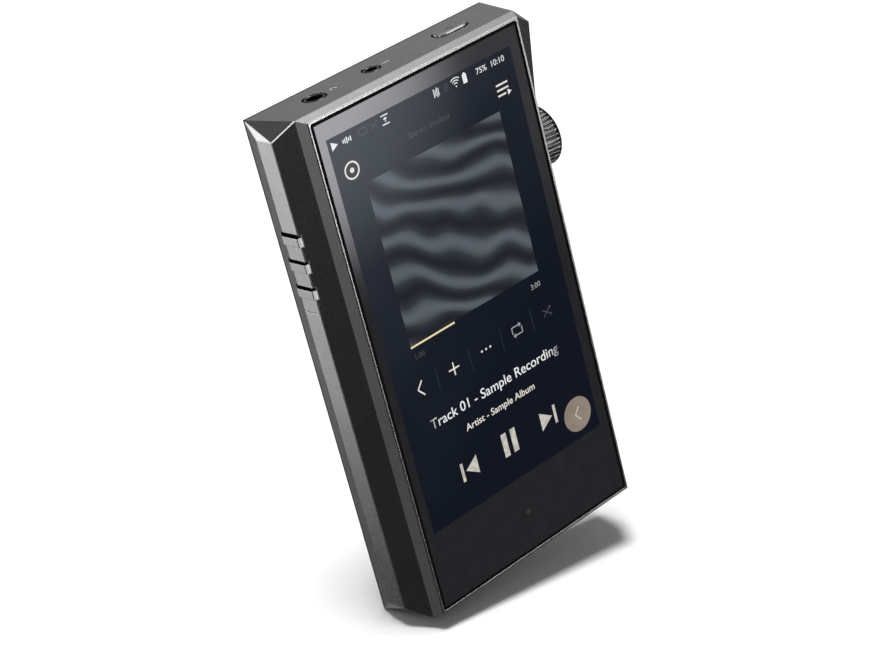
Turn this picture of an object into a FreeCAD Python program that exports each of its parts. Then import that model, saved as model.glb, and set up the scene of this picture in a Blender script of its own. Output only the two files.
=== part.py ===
import FreeCAD, Part
import math
import os

# Pocket digital audio player, in millimetres.
# Frame: +Z runs up the player's length, the screen faces -Y, and +X is to the
# right of someone looking at the screen. The origin is the middle of the base.

# ---------------------------------------------------------------- driving dimensions
BODY_LENGTH = 116.2
BODY_DEPTH = 16.0
GLASS_WIDTH = 56.4
GLASS_LENGTH = 112.6
GLASS_THICKNESS = 0.8
GLASS_RECESS = 0.03          # the glass lies this far below its rim
RIDGE_LEFT = 34.3            # half width at the left ridge, where the side keys are
RIDGE_RIGHT = 34.0           # half width at the right ridge and at the wheel guard
SIDE_REACH = 34.7            # how far the wheel and the key ledges stand out

FRONT = -BODY_DEPTH / 2
REAR = BODY_DEPTH / 2
END_MARGIN = (BODY_LENGTH - GLASS_LENGTH) / 2
GLASS_BOTTOM = END_MARGIN
GLASS_TOP = END_MARGIN + GLASS_LENGTH
SKIN = 1.0                   # how far a cutting tool runs past the face it opens
SNUG = 0.02                  # clearance of a piece that is fixed in its seat

# The facets of the housing, given by the depth and half width of each crease.
RIM_WIDTH = 0.9              # flat rim round the glass
RIM_END = 1.0
STRIP_DEPTH = 2.35           # narrow front chamfer, down to the wide facet
STRIP_HALF_WIDTH = 30.3
RIDGE_FRONT = FRONT + 6.46
RIDGE_REAR = FRONT + 11.56
RIDGE_END_LEFT = 3.5         # the ridges stop this far short of the ends
RIDGE_END_RIGHT = 3.9
REAR_HALF_WIDTH = 33.1
EDGE_BREAK = 0.14            # the outer creases above the base are broken by this much

# Inside of the housing
GLASS_GAP = 0.45             # filled by the black gasket round the glass
GASKET_FRONT = FRONT + 0.12
GLASS_SEAT = FRONT + 0.95
CAVITY_HALF_WIDTH = 26.6
CAVITY_BOTTOM = 3.6
CAVITY_TOP = BODY_LENGTH - 3.6
CAVITY_CORNER = 1.5
REAR_PLATE_HALF_WIDTH = 27.9
REAR_PLATE_MARGIN = 2.2
REAR_PLATE_SEAT = REAR - 1.0
REAR_PLATE_GAP = 0.12
REAR_PLATE_CORNER = 3.0
TAPE = 0.1                   # thickness of the adhesive under both plates
LUG = 3.6                    # side of the corner lugs that carry the mid frame
LUG_DEPTH = 2.0

# Screen
SCREEN_CENTRE_X = -0.3
SCREEN_WIDTH = 51.3
SCREEN_BOTTOM = 19.2
SCREEN_TOP = 110.4
PANEL_BORDER = 0.4
GLASS_FRONT = FRONT + GLASS_RECESS
GLASS_BACK = GLASS_FRONT + GLASS_THICKNESS
PANEL_FRONT = GLASS_BACK + 0.01
PANEL_THICKNESS = 1.25
BACKLIGHT_THICKNESS = 1.2
MIDFRAME_FRONT = -4.4
MIDFRAME_REAR = -3.6
HOME_MARK_Z = 10.6
HOME_MARK_RADIUS = 0.7
HOME_LED_SPAN = (-5.3, -4.85)

# Boards
BOARD_FRONT = -2.6
BOARD_REAR = -1.8
LOWER_BOARD_FRONT = -1.3
LOWER_BOARD_REAR = -0.5
MAIN_BOARD_BOTTOM = 64.0
MAIN_BOARD_HALF_WIDTH = 26.2
FLEX = 0.13                  # thickness of every ribbon
DISPLAY_FLEX_X = (-14.0, -6.0)
FLEX_SLOT = (66.0, 67.8)     # heights of the slot in the mid frame
STANDOFF_RADIUS = 1.7
SHIELD_WALL = 0.2

# Screws of the inside, all of one thread
SCREW_RADIUS = 0.7
SCREW_HOLE_RADIUS = 0.75
SCREW_HEAD_RADIUS = 1.2
SCREW_HEAD_HEIGHT = 0.55
SCREW_SLOT = 0.3
# Places of the board screws, each as (x, z)
MAIN_BOARD_SCREWS = ((-24.4, 67.0), (24.4, 67.0), (-24.4, 105.0), (24.4, 105.0))
LOWER_BOARD_SCREWS = ((-18.0, 13.0), (22.0, 13.0))

# Volume wheel
WHEEL_Z = 85.7
WHEEL_Y = 0.0
WHEEL_RADIUS = 7.1
WHEEL_INNER_RADIUS = 6.8
WHEEL_INNER_X = 29.5
WHEEL_FLUTES = 42
FLUTE_DEPTH = 0.5
WHEEL_BEVEL = 0.55
WHEEL_CUP_RADIUS = 4.6
WHEEL_CUP_DEPTH = 1.6
END_CAP_RADIUS = 5.0
END_CAP_THICKNESS = 0.5
SHAFT_RADIUS = 1.5
SHAFT_CLEARANCE = 0.05
BUSHING_RADIUS = 2.5
ENCODER_X = (20.9, 26.4)
NOTCH_FLOOR = 29.2
NOTCH_HALF_HEIGHT = 11.5
NOTCH_SLOPE = 15.1 / 4.9     # rise of the guard's wall for each millimetre outward

# Sockets and power button in the top face
PORT_Y = 1.0
BIG_JACK_X = -19.7
BIG_JACK_RADIUS = 1.85
BIG_COLLAR_RADIUS = 2.38
SMALL_JACK_X = -4.3
SMALL_JACK_RADIUS = 1.35
SMALL_COLLAR_RADIUS = 1.87
COLLAR_PROUD = 0.05
BIG_JACK_BOTTOM = 100.0
BIG_JACK_DEPTH = 2.8         # from the jack's axis to the rear of its body
SMALL_JACK_BOTTOM = 101.4
SMALL_JACK_DEPTH = 2.6
COLLAR_LENGTH = 3.1
GROOVE_WIDTH = 0.36
GROOVE_DEPTH = 0.6
POWER_X = 18.0
POWER_LENGTH = 8.4
POWER_WIDTH = 4.3
POWER_PROUD = 0.45
POWER_GAP = 0.4
POWER_FLANGE = 0.7
POWER_TRAVEL = 0.4

# Side keys, from the top: previous, play, next
KEY_NAMES = ("previous", "play", "next")
KEY_PITCH = 5.9
KEY_TOP = 91.8
KEY_LENGTH = 5.3
KEY_SLIT = 0.75
KEY_LEDGE = 1.9
KEY_LEDGE_FRONT = RIDGE_FRONT - 0.4
KEY_LEDGE_REAR = RIDGE_REAR + 0.9
KEY_GAP = 0.12
KEY_THICKNESS = 1.7
KEY_TRAVEL = 0.35
KEY_FLOOR = -RIDGE_LEFT + KEY_THICKNESS + KEY_TRAVEL + 0.15
KEY_STEM = 1.6
POCKET_OUTER = -30.2
POCKET_Y = (-2.4, 4.4)
POCKET_Z = (73.4, 93.2)
SWITCH_SIZE = 3.0
SIDE_PLUNGER = 1.2
SWITCH_OUTER = -29.2
SWITCH_INNER = -27.65
SIDE_BOARD_INNER = -26.95
PLUNGER = 1.5                # side of the power switch's square plunger
POWER_SWITCH_TOP = 110.6
KEY_BRACKET_SCREWS = (71.0, 95.6)

# Bottom sockets
USB_WIDTH = 8.94
USB_HEIGHT = 3.26
USB_WALL = 0.3
USB_LENGTH = 7.3
USB_RECESS = 0.25
USB_Y = LOWER_BOARD_REAR + USB_HEIGHT / 2
CARD_X = 13.0
CARD_SLOT_WIDTH = 11.6
CARD_SLOT_HEIGHT = 1.1
CARD_SHELL_WIDTH = 13.0
CARD_SHELL_HEIGHT = 1.5
CARD_SHELL_BOTTOM = CAVITY_BOTTOM + 0.2
CARD_SHELL_TOP = 16.5
CARD_Y = LOWER_BOARD_REAR + CARD_SHELL_HEIGHT / 2
CARD_PUSH = 1.0

# Battery
BATTERY_HALF_WIDTH = 23.0
BATTERY_BOTTOM = 19.0
BATTERY_TOP = 62.0
BATTERY_FRONT = -3.2
BATTERY_REAR = 5.35
STRAP_Z = 39.0
STRAP_HEIGHT = 6.0
STRAP_THICKNESS = 0.4
STRAP_LUG_REAR = 5.5
STRAP_SCREW_X = 25.0


# ---------------------------------------------------------------- small builders
def point(x, y, z):
    return FreeCAD.Vector(x, y, z)


AXES = {"x": point(1, 0, 0), "y": point(0, 1, 0), "z": point(0, 0, 1)}


def block(x_span, y_span, z_span):
    """A box given by its lowest and highest value on each axis."""
    sizes = [max(span) - min(span) for span in (x_span, y_span, z_span)]
    return Part.makeBox(*sizes, point(min(x_span), min(y_span), min(z_span)))


def centred_block(x, z, width, height, y_span):
    """A box on a board: centre and size across it, and its span in depth."""
    return block((x - width / 2, x + width / 2), y_span, (z - height / 2, z + height / 2))


def rounded_block(x_span, y_span, z_span, radius):
    """A box whose four edges along Y are rounded."""
    shape = block(x_span, y_span, z_span)
    along_y = [edge for edge in shape.Edges if is_along(edge, "y")]
    return shape.makeFillet(radius, along_y)


def is_along(edge, axis):
    ends = [vertex.Point for vertex in edge.Vertexes]
    return len(ends) == 2 and (ends[1] - ends[0]).cross(AXES[axis]).Length < 1e-6


def rod(axis, start, stop, radius, a, b):
    """A cylinder along an axis; a and b are its other two coordinates in order."""
    places = {"x": point(start, a, b), "y": point(a, start, b), "z": point(a, b, start)}
    return Part.makeCylinder(radius, stop - start, places[axis], AXES[axis])


def ring(axis, start, stop, outer, inner, a, b):
    return rod(axis, start, stop, outer, a, b).cut(rod(axis, start, stop, inner, a, b))


def pill(x, y, length, width, z_span):
    """A slot-shaped bar standing along Z, long in X."""
    half = (length - width) / 2
    low, high = z_span
    middle = block((x - half, x + half), (y - width / 2, y + width / 2), z_span)
    ends = [rod("z", low, high, width / 2, x + side * half, y) for side in (-1, 1)]
    return middle.fuse(ends).removeSplitter()


def prism(outline, axis, start, stop):
    """An outline swept straight along an axis; a pair fills the other two axes."""
    places = {
        "x": lambda a, b: point(start, a, b),
        "y": lambda a, b: point(a, start, b),
        "z": lambda a, b: point(a, b, start),
    }
    corners = [places[axis](a, b) for a, b in outline]
    face = Part.Face(Part.makePolygon(corners + corners[:1]))
    return face.extrude(AXES[axis] * (stop - start))


def polyhedron(faces):
    sheets = [Part.Face(Part.makePolygon(list(face) + [face[0]])) for face in faces]
    solid = Part.Solid(Part.Shell(sheets))
    if solid.Volume < 0:
        solid.reverse()
    return solid


def ribbon(path, x_span, thickness=FLEX):
    """A thin strip that follows (y, z) points, as wide as x_span."""
    upper = []
    lower = []
    for index, (y, z) in enumerate(path):
        before = path[max(index - 1, 0)]
        after = path[min(index + 1, len(path) - 1)]
        dy = after[0] - before[0]
        dz = after[1] - before[1]
        reach = math.hypot(dy, dz)
        normal = (dz / reach * thickness / 2, -dy / reach * thickness / 2)
        upper.append((y + normal[0], z + normal[1]))
        lower.append((y - normal[0], z - normal[1]))
    return prism(upper + lower[::-1], "x", min(x_span), max(x_span))


def group(shapes):
    return Part.Compound(list(shapes))


def screw(axis, head_face, direction, length, a, b):
    """A slotted pan-head screw; the shank runs from head_face along direction."""
    tip = head_face + direction * length
    top = head_face - direction * SCREW_HEAD_HEIGHT
    shank = rod(axis, min(head_face, tip), max(head_face, tip), SCREW_RADIUS, a, b)
    head = rod(axis, min(head_face, top), max(head_face, top), SCREW_HEAD_RADIUS, a, b)
    head = head.makeFillet(0.2, circles_at(head, axis, top))
    slot_floor = top + direction * SCREW_SLOT
    depth = (min(top, slot_floor), max(top, slot_floor))
    wide = (-SCREW_HEAD_RADIUS, SCREW_HEAD_RADIUS)
    thin = (-SCREW_SLOT / 2, SCREW_SLOT / 2)
    if axis == "y":
        slots = [block((a + u[0], a + u[1]), depth, (b + v[0], b + v[1]))
                 for u, v in ((wide, thin), (thin, wide))]
    else:
        slots = [block(depth, (a + u[0], a + u[1]), (b + v[0], b + v[1]))
                 for u, v in ((wide, thin), (thin, wide))]
    return shank.fuse(head).removeSplitter().cut(slots[0].fuse(slots[1]))


def circles_at(shape, axis, place):
    """The whole circles of a turned piece that lie at one place along its axis."""
    whole = [edge for edge in shape.Edges if len(edge.Vertexes) == 1]
    return [edge for edge in whole if abs(getattr(edge.CenterOfMass, axis) - place) < 1e-6]


# ---------------------------------------------------------------- housing
def facet_corners(side, end):
    """The five crease corners at one end of one side, from the rim to the rear."""
    ridge = RIDGE_RIGHT if side > 0 else RIDGE_LEFT
    inset = RIDGE_END_RIGHT if side > 0 else RIDGE_END_LEFT
    outer_z = BODY_LENGTH if end > 0 else 0.0
    rim_z = (GLASS_TOP + RIM_END) if end > 0 else (GLASS_BOTTOM - RIM_END)
    ridge_z = outer_z - end * inset
    return {
        "rim": point(side * (GLASS_WIDTH / 2 + RIM_WIDTH), FRONT, rim_z),
        "strip": point(side * STRIP_HALF_WIDTH, FRONT + STRIP_DEPTH, outer_z),
        "ridge": point(side * ridge, RIDGE_FRONT, ridge_z),
        "back_ridge": point(side * ridge, RIDGE_REAR, ridge_z),
        "rear": point(side * REAR_HALF_WIDTH, REAR, outer_z),
    }


def faceted_block():
    """The whole outside as one convex block, without the wheel's guard."""
    corners = {(s, e): facet_corners(s, e) for s in (-1, 1) for e in (-1, 1)}
    faces = []
    bands = ("rim", "strip", "ridge", "back_ridge", "rear")
    for side in (-1, 1):
        low, high = corners[side, -1], corners[side, 1]
        for first, second in zip(bands, bands[1:]):
            faces.append((low[first], low[second], high[second], high[first]))
        for end in (low, high):
            faces.append((end["rear"], end["strip"], end["ridge"]))
            faces.append((end["rear"], end["ridge"], end["back_ridge"]))
    for end in (-1, 1):
        left, right = corners[-1, end], corners[1, end]
        faces.append((left["rim"], right["rim"], right["strip"], left["strip"]))
        faces.append((left["strip"], right["strip"], right["rear"], left["rear"]))
    for band in ("rim", "rear"):
        faces.append((corners[-1, -1][band], corners[1, -1][band],
                      corners[1, 1][band], corners[-1, 1][band]))
    return polyhedron(faces)


def guard_block():
    """The fuller top right corner, which stands over the wheel as its guard."""
    top = facet_corners(1, 1)
    brow = point(RIDGE_RIGHT, FRONT + STRIP_DEPTH, top["ridge"].z)
    inner_x = GLASS_WIDTH / 2 - 3.0
    foot_z = WHEEL_Z
    foot = {name: point(corner.x, corner.y, foot_z) for name, corner in top.items()}
    brow_foot = point(brow.x, brow.y, foot_z)
    inner_rim = point(inner_x, FRONT, top["rim"].z)
    inner_strip = point(inner_x, top["strip"].y, BODY_LENGTH)
    inner_rear = point(inner_x, REAR, BODY_LENGTH)
    inner_rim_foot = point(inner_x, FRONT, foot_z)
    inner_rear_foot = point(inner_x, REAR, foot_z)
    return polyhedron([
        (inner_strip, top["strip"], top["rear"], inner_rear),
        (inner_rim, top["rim"], top["strip"], inner_strip),
        (top["rim"], top["strip"], brow),
        (top["rim"], brow, brow_foot, foot["rim"]),
        (top["strip"], top["rear"], brow),
        (top["rear"], top["back_ridge"], brow),
        (brow, top["back_ridge"], foot["back_ridge"], brow_foot),
        (top["back_ridge"], top["rear"], foot["rear"], foot["back_ridge"]),
        (top["rear"], inner_rear, inner_rear_foot, foot["rear"]),
        (inner_rim, top["rim"], foot["rim"], inner_rim_foot),
        (inner_rim_foot, foot["rim"], brow_foot, foot["back_ridge"], foot["rear"], inner_rear_foot),
        (inner_rim, inner_strip, inner_rear, inner_rear_foot, inner_rim_foot),
    ])


def wheel_notch():
    """The space cut from the right side round the wheel, wider as it goes outward."""
    reach = 10.0
    rise = NOTCH_HALF_HEIGHT + reach * NOTCH_SLOPE
    outline = [
        (NOTCH_FLOOR, WHEEL_Z + NOTCH_HALF_HEIGHT),
        (NOTCH_FLOOR + reach, WHEEL_Z + rise),
        (NOTCH_FLOOR + reach, WHEEL_Z - rise),
        (NOTCH_FLOOR, WHEEL_Z - NOTCH_HALF_HEIGHT),
    ]
    return prism(outline, "y", FRONT - SKIN, REAR + SKIN)


def break_creases(shape):
    """Bevel the long outer creases one by one; one that meets a finished bevel may stay sharp.
    Those that run down to the base stay sharp, so the player stands on its full base."""
    creases = [(edge.CenterOfMass, edge.Length) for edge in shape.Edges
               if edge.Length > 3.0 and edge.BoundBox.ZMin > EDGE_BREAK]
    for centre, length in creases:
        near = [edge for edge in shape.Edges
                if (edge.CenterOfMass - centre).Length < 2 * EDGE_BREAK
                and abs(edge.Length - length) < 4 * EDGE_BREAK]
        if not near:
            continue
        try:
            bevelled = shape.makeChamfer(EDGE_BREAK, near[:1])
        except (Part.OCCError, ValueError):
            continue
        if bevelled.isValid() and len(bevelled.Solids) == 1:
            shape = bevelled
    return shape


def corner_lugs():
    """Four tapped corner lugs, which the mid frame is screwed to."""
    depth = (MIDFRAME_REAR, MIDFRAME_REAR + LUG_DEPTH)
    heights = ((CAVITY_BOTTOM - SKIN, CAVITY_BOTTOM + LUG), (CAVITY_TOP - LUG, CAVITY_TOP + SKIN))
    lugs = []
    for side in (-1, 1):
        across = (side * (CAVITY_HALF_WIDTH + SKIN), side * (CAVITY_HALF_WIDTH - LUG))
        lugs += [block(across, depth, height) for height in heights]
    return lugs


def lug_screw_places():
    reach = CAVITY_HALF_WIDTH - LUG / 2
    heights = (CAVITY_BOTTOM + LUG / 2, CAVITY_TOP - LUG / 2)
    return [(side * reach, z) for side in (-1, 1) for z in heights]


def strap_lugs():
    """Two tapped lugs in the side walls, which the battery strap is screwed to."""
    lugs = []
    for side in (-1, 1):
        span = (side * (CAVITY_HALF_WIDTH + SKIN), side * (BATTERY_HALF_WIDTH + 0.5))
        z_span = (STRAP_Z - STRAP_HEIGHT / 2, STRAP_Z + STRAP_HEIGHT / 2)
        lugs.append(block(span, (STRAP_LUG_REAR - 3.0, STRAP_LUG_REAR), z_span))
    return lugs


def key_spans():
    """The lowest and highest point of each side key, from the top one down."""
    tops = [KEY_TOP - index * KEY_PITCH for index in range(len(KEY_NAMES))]
    return [(top - KEY_LENGTH, top) for top in tops]


def key_centre(span):
    return (span[0] + span[1]) / 2


def key_openings():
    """Everything cut from the left wall for the side keys, their stems and switches."""
    outer = -(SIDE_REACH + SKIN)
    spans = key_spans()
    bottom = spans[-1][0] - KEY_GAP
    face = (RIDGE_FRONT - KEY_GAP / 2, RIDGE_REAR + KEY_GAP / 2)
    cuts = [block((outer, KEY_FLOOR), face, (bottom, KEY_TOP + KEY_SLIT))]
    for low, high in spans:
        ledge_span = (high - KEY_LEDGE - KEY_GAP, high + KEY_SLIT)
        depth = (KEY_LEDGE_FRONT - KEY_GAP, KEY_LEDGE_REAR + KEY_GAP)
        cuts.append(block((outer, KEY_FLOOR), depth, ledge_span))
        hole = KEY_STEM / 2 + KEY_GAP
        z = key_centre((low, high))
        through = (KEY_FLOOR - 0.1, POCKET_OUTER + 0.1)
        cuts.append(block(through, (PORT_Y - hole, PORT_Y + hole), (z - hole, z + hole)))
    cuts.append(block((POCKET_OUTER, -CAVITY_HALF_WIDTH + 0.1), POCKET_Y, POCKET_Z))
    return cuts


def socket_openings():
    """The holes in the top wall for both jacks and the power button."""
    cuts = []
    for x, radius in ((BIG_JACK_X, BIG_COLLAR_RADIUS), (SMALL_JACK_X, SMALL_COLLAR_RADIUS)):
        cuts.append(rod("z", CAVITY_TOP - SKIN, BODY_LENGTH + SKIN, radius + 0.02, x, PORT_Y))
        groove = rod("z", BODY_LENGTH - GROOVE_DEPTH, BODY_LENGTH + SKIN, radius + GROOVE_WIDTH, x, PORT_Y)
        cuts.append(groove)
    gap = 2 * POWER_GAP
    hole = (POWER_LENGTH + gap, POWER_WIDTH + gap)
    cuts.append(pill(POWER_X, PORT_Y, *hole, (CAVITY_TOP - SKIN, BODY_LENGTH + SKIN)))
    step = 2 * POWER_FLANGE + 0.3
    counterbore = (POWER_LENGTH + step, POWER_WIDTH + step)
    cuts.append(pill(POWER_X, PORT_Y, *counterbore, (CAVITY_TOP - SKIN, CAVITY_TOP + 1.45)))
    return cuts


def base_openings():
    """The charging socket's hole and the memory card's slot in the bottom wall."""
    through = (-SKIN, CAVITY_BOTTOM + SKIN)
    socket = pill(0, USB_Y, USB_WIDTH + 0.06, USB_HEIGHT + 0.06, through)
    half = (CARD_SLOT_WIDTH + 0.6) / 2
    depth = (CARD_SLOT_HEIGHT + 0.3) / 2
    slot = block((CARD_X - half, CARD_X + half), (CARD_Y - depth, CARD_Y + depth), through)
    return [socket, slot]


def tapped_holes():
    """The holes that screws and the wheel's sleeve go into."""
    lug_span = (MIDFRAME_REAR - SKIN, MIDFRAME_REAR + LUG_DEPTH + SKIN)
    holes = [rod("y", *lug_span, SCREW_HOLE_RADIUS, x, z) for x, z in lug_screw_places()]
    strap_span = (STRAP_LUG_REAR - 2.6, STRAP_LUG_REAR + SKIN)
    for side in (-1, 1):
        holes.append(rod("y", *strap_span, SCREW_HOLE_RADIUS, side * STRAP_SCREW_X, STRAP_Z))
    sleeve_span = (CAVITY_HALF_WIDTH - SKIN, NOTCH_FLOOR + SKIN)
    holes.append(rod("x", *sleeve_span, BUSHING_RADIUS + SNUG, WHEEL_Y, WHEEL_Z))
    bracket_span = (-CAVITY_HALF_WIDTH - 2.8, -CAVITY_HALF_WIDTH + SKIN)
    for z in KEY_BRACKET_SCREWS:
        holes.append(rod("x", *bracket_span, SCREW_HOLE_RADIUS, PORT_Y, z))
    return holes


def housing():
    """The one-piece metal frame that everything else is fixed in."""
    body = faceted_block().fuse(guard_block()).cut(wheel_notch()).removeSplitter()
    body = break_creases(body)
    half = GLASS_WIDTH / 2 + GLASS_GAP
    glass_seat = rounded_block((-half, half), (FRONT - SKIN, GLASS_SEAT),
                               (GLASS_BOTTOM - GLASS_GAP, GLASS_TOP + GLASS_GAP), 0.6)
    half = CAVITY_HALF_WIDTH
    cavity = rounded_block((-half, half), (FRONT - SKIN, REAR + SKIN),
                           (CAVITY_BOTTOM, CAVITY_TOP), CAVITY_CORNER)
    half = REAR_PLATE_HALF_WIDTH + REAR_PLATE_GAP
    margin = REAR_PLATE_MARGIN - REAR_PLATE_GAP
    rear_seat = rounded_block((-half, half), (REAR_PLATE_SEAT, REAR + SKIN),
                              (margin, BODY_LENGTH - margin), REAR_PLATE_CORNER)
    body = body.cut(glass_seat).cut(cavity).cut(rear_seat)
    body = body.fuse(corner_lugs() + strap_lugs())
    body = body.cut(key_openings() + socket_openings() + base_openings())
    return body.cut(tapped_holes()).removeSplitter()


# ---------------------------------------------------------------- glass and screen
def front_glass():
    half = GLASS_WIDTH / 2
    sheet = rounded_block((-half, half), (GLASS_FRONT, GLASS_BACK), (GLASS_BOTTOM, GLASS_TOP), 0.45)
    front_rim = [edge for edge in sheet.Edges
                 if all(abs(vertex.Point.y - GLASS_FRONT) < 1e-6 for vertex in edge.Vertexes)]
    return sheet.makeChamfer(0.12, front_rim)


def tape_frame(half, margin, corner, y_span):
    """A flat frame of double-sided tape, from a plate's edge to just outside the cavity."""
    outside = rounded_block((-half, half), y_span, (margin, BODY_LENGTH - margin), corner)
    reach = CAVITY_HALF_WIDTH + 0.1
    return outside.cut(block((-reach, reach), y_span, (CAVITY_BOTTOM - 0.1, CAVITY_TOP + 0.1)))


def front_glass_gasket():
    """The black adhesive frame under the glass, with a lip that fills the gap round it."""
    bed = tape_frame(GLASS_WIDTH / 2 + 0.1, GLASS_BOTTOM - 0.1, 0.5, (GLASS_BACK + SNUG, GLASS_SEAT))
    y_span = (GASKET_FRONT, GLASS_SEAT)
    reach = GLASS_GAP - SNUG
    half = GLASS_WIDTH / 2
    outside = rounded_block((-half - reach, half + reach), y_span,
                            (GLASS_BOTTOM - reach, GLASS_TOP + reach), 0.58)
    inside = rounded_block((-half - SNUG, half + SNUG), (FRONT, REAR),
                           (GLASS_BOTTOM - SNUG, GLASS_TOP + SNUG), 0.47)
    return bed.fuse(outside.cut(inside)).removeSplitter()


def rear_plate():
    half = REAR_PLATE_HALF_WIDTH
    z_span = (REAR_PLATE_MARGIN, BODY_LENGTH - REAR_PLATE_MARGIN)
    corner = REAR_PLATE_CORNER - REAR_PLATE_GAP
    sheet = rounded_block((-half, half), (REAR_PLATE_SEAT + TAPE, REAR), z_span, corner)
    rear_rim = [edge for edge in sheet.Edges
                if all(abs(vertex.Point.y - REAR) < 1e-6 for vertex in edge.Vertexes)]
    return sheet.makeChamfer(0.12, rear_rim)


def rear_plate_tape():
    y_span = (REAR_PLATE_SEAT, REAR_PLATE_SEAT + TAPE)
    return tape_frame(REAR_PLATE_HALF_WIDTH - 0.3, REAR_PLATE_MARGIN + 0.3, REAR_PLATE_CORNER, y_span)


def display_panel():
    half = SCREEN_WIDTH / 2 + PANEL_BORDER
    x_span = (SCREEN_CENTRE_X - half, SCREEN_CENTRE_X + half)
    y_span = (PANEL_FRONT, PANEL_FRONT + PANEL_THICKNESS)
    return block(x_span, y_span, (SCREEN_BOTTOM - 3.6, SCREEN_TOP + 1.2))


def backlight_unit():
    half = SCREEN_WIDTH / 2 + 0.1
    front = PANEL_FRONT + PANEL_THICKNESS + 0.02
    x_span = (SCREEN_CENTRE_X - half, SCREEN_CENTRE_X + half)
    z_span = (SCREEN_BOTTOM - 1.8, CAVITY_TOP - LUG - 0.6)
    return block(x_span, (front, front + BACKLIGHT_THICKNESS), z_span)


def display_flex():
    """The screen's ribbon, through a slot in the mid frame to the main board."""
    path = [(-4.55, 38.0), (-4.55, 66.5), (-3.48, 67.2), (-3.48, 72.5)]
    return ribbon(path, DISPLAY_FLEX_X)


def midframe():
    """The inner plate that stiffens the player and carries both boards."""
    x_span = (-CAVITY_HALF_WIDTH + 0.15, CAVITY_HALF_WIDTH - 0.15)
    z_span = (CAVITY_BOTTOM + 0.15, CAVITY_TOP - 0.15)
    plate = rounded_block(x_span, (MIDFRAME_FRONT, MIDFRAME_REAR), z_span, CAVITY_CORNER)
    root = MIDFRAME_REAR - 0.2
    pillars = [rod("y", root, BOARD_FRONT, STANDOFF_RADIUS, x, z) for x, z in MAIN_BOARD_SCREWS]
    pillars += [rod("y", root, LOWER_BOARD_FRONT, STANDOFF_RADIUS, x, z) for x, z in LOWER_BOARD_SCREWS]
    plate = plate.fuse(pillars).removeSplitter()
    cuts = [rod("y", MIDFRAME_FRONT - SKIN, BOARD_FRONT + SKIN, SCREW_HOLE_RADIUS, x, z)
            for x, z in lug_screw_places()]
    cuts += [rod("y", MIDFRAME_REAR - 0.5, LOWER_BOARD_FRONT + SKIN, SCREW_HOLE_RADIUS, x, z)
             for x, z in MAIN_BOARD_SCREWS + LOWER_BOARD_SCREWS]
    slot = (DISPLAY_FLEX_X[0] - 0.5, DISPLAY_FLEX_X[1] + 0.5)
    cuts.append(block(slot, (MIDFRAME_FRONT - SKIN, MIDFRAME_REAR + SKIN), FLEX_SLOT))
    return plate.cut(cuts)


def midframe_screws():
    return group(screw("y", MIDFRAME_FRONT, 1, 2.6, x, z) for x, z in lug_screw_places())


def home_light_guide():
    """The small clear pin behind the mark below the screen."""
    front = GLASS_BACK + 0.02
    return rod("y", front, front + 1.8, HOME_MARK_RADIUS, 0, HOME_MARK_Z)


def home_led():
    return centred_block(0, HOME_MARK_Z, 1.6, 0.8, HOME_LED_SPAN)


def home_key_flex():
    rear = MIDFRAME_FRONT - 0.02
    return centred_block(0, HOME_MARK_Z, 18.0, 6.0, (HOME_LED_SPAN[1], rear))


# ---------------------------------------------------------------- volume wheel
def volume_knob():
    """A crown-like wheel: a fluted rim that widens outward, hollow on its inner side."""
    steps = 2 * WHEEL_FLUTES
    outline = []
    for index in range(2 * steps):
        crest = index % 4 in (0, 1)
        radius = WHEEL_RADIUS if crest else WHEEL_RADIUS - FLUTE_DEPTH
        lean = (-0.16, 0.16, -0.10, 0.10)[index % 4]
        angle = 2 * math.pi * (index // 2 + lean) / steps
        outline.append((WHEEL_Y + radius * math.cos(angle), WHEEL_Z + radius * math.sin(angle)))
    fluted = prism(outline, "x", WHEEL_INNER_X, SIDE_REACH)
    envelope_outline = [
        point(WHEEL_INNER_X, WHEEL_Y, WHEEL_Z),
        point(WHEEL_INNER_X, WHEEL_Y + WHEEL_INNER_RADIUS - 0.25, WHEEL_Z),
        point(WHEEL_INNER_X + 0.25, WHEEL_Y + WHEEL_INNER_RADIUS, WHEEL_Z),
        point(SIDE_REACH - WHEEL_BEVEL, WHEEL_Y + WHEEL_RADIUS, WHEEL_Z),
        point(SIDE_REACH, WHEEL_Y + WHEEL_RADIUS - WHEEL_BEVEL, WHEEL_Z),
        point(SIDE_REACH, WHEEL_Y, WHEEL_Z),
    ]
    face = Part.Face(Part.makePolygon(envelope_outline + envelope_outline[:1]))
    envelope = face.revolve(point(0, WHEEL_Y, WHEEL_Z), AXES["x"], 360)
    knob = fluted.common(envelope)
    centre = (WHEEL_Y, WHEEL_Z)
    cup = rod("x", WHEEL_INNER_X - SKIN, WHEEL_INNER_X + WHEEL_CUP_DEPTH, WHEEL_CUP_RADIUS, *centre)
    bore = rod("x", WHEEL_INNER_X, SIDE_REACH - 1.0, SHAFT_RADIUS, *centre)
    seat_radius = END_CAP_RADIUS + SNUG
    cap_seat = rod("x", SIDE_REACH - END_CAP_THICKNESS, SIDE_REACH + SKIN, seat_radius, *centre)
    return knob.cut([cup, bore, cap_seat])


def knob_end_cap():
    start = SIDE_REACH - END_CAP_THICKNESS
    disc = rod("x", start, SIDE_REACH, END_CAP_RADIUS, WHEEL_Y, WHEEL_Z)
    return disc.makeChamfer(0.15, circles_at(disc, "x", SIDE_REACH))


def wheel_shaft():
    return rod("x", ENCODER_X[0] + 0.9, SIDE_REACH - 1.02, SHAFT_RADIUS - 0.005, WHEEL_Y, WHEEL_Z)


def wheel_bushing():
    """The threaded sleeve in the side wall that the shaft turns in."""
    bore = SHAFT_RADIUS + SHAFT_CLEARANCE
    return ring("x", ENCODER_X[1] + 0.02, NOTCH_FLOOR + 1.4, BUSHING_RADIUS, bore, WHEEL_Y, WHEEL_Z)


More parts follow.
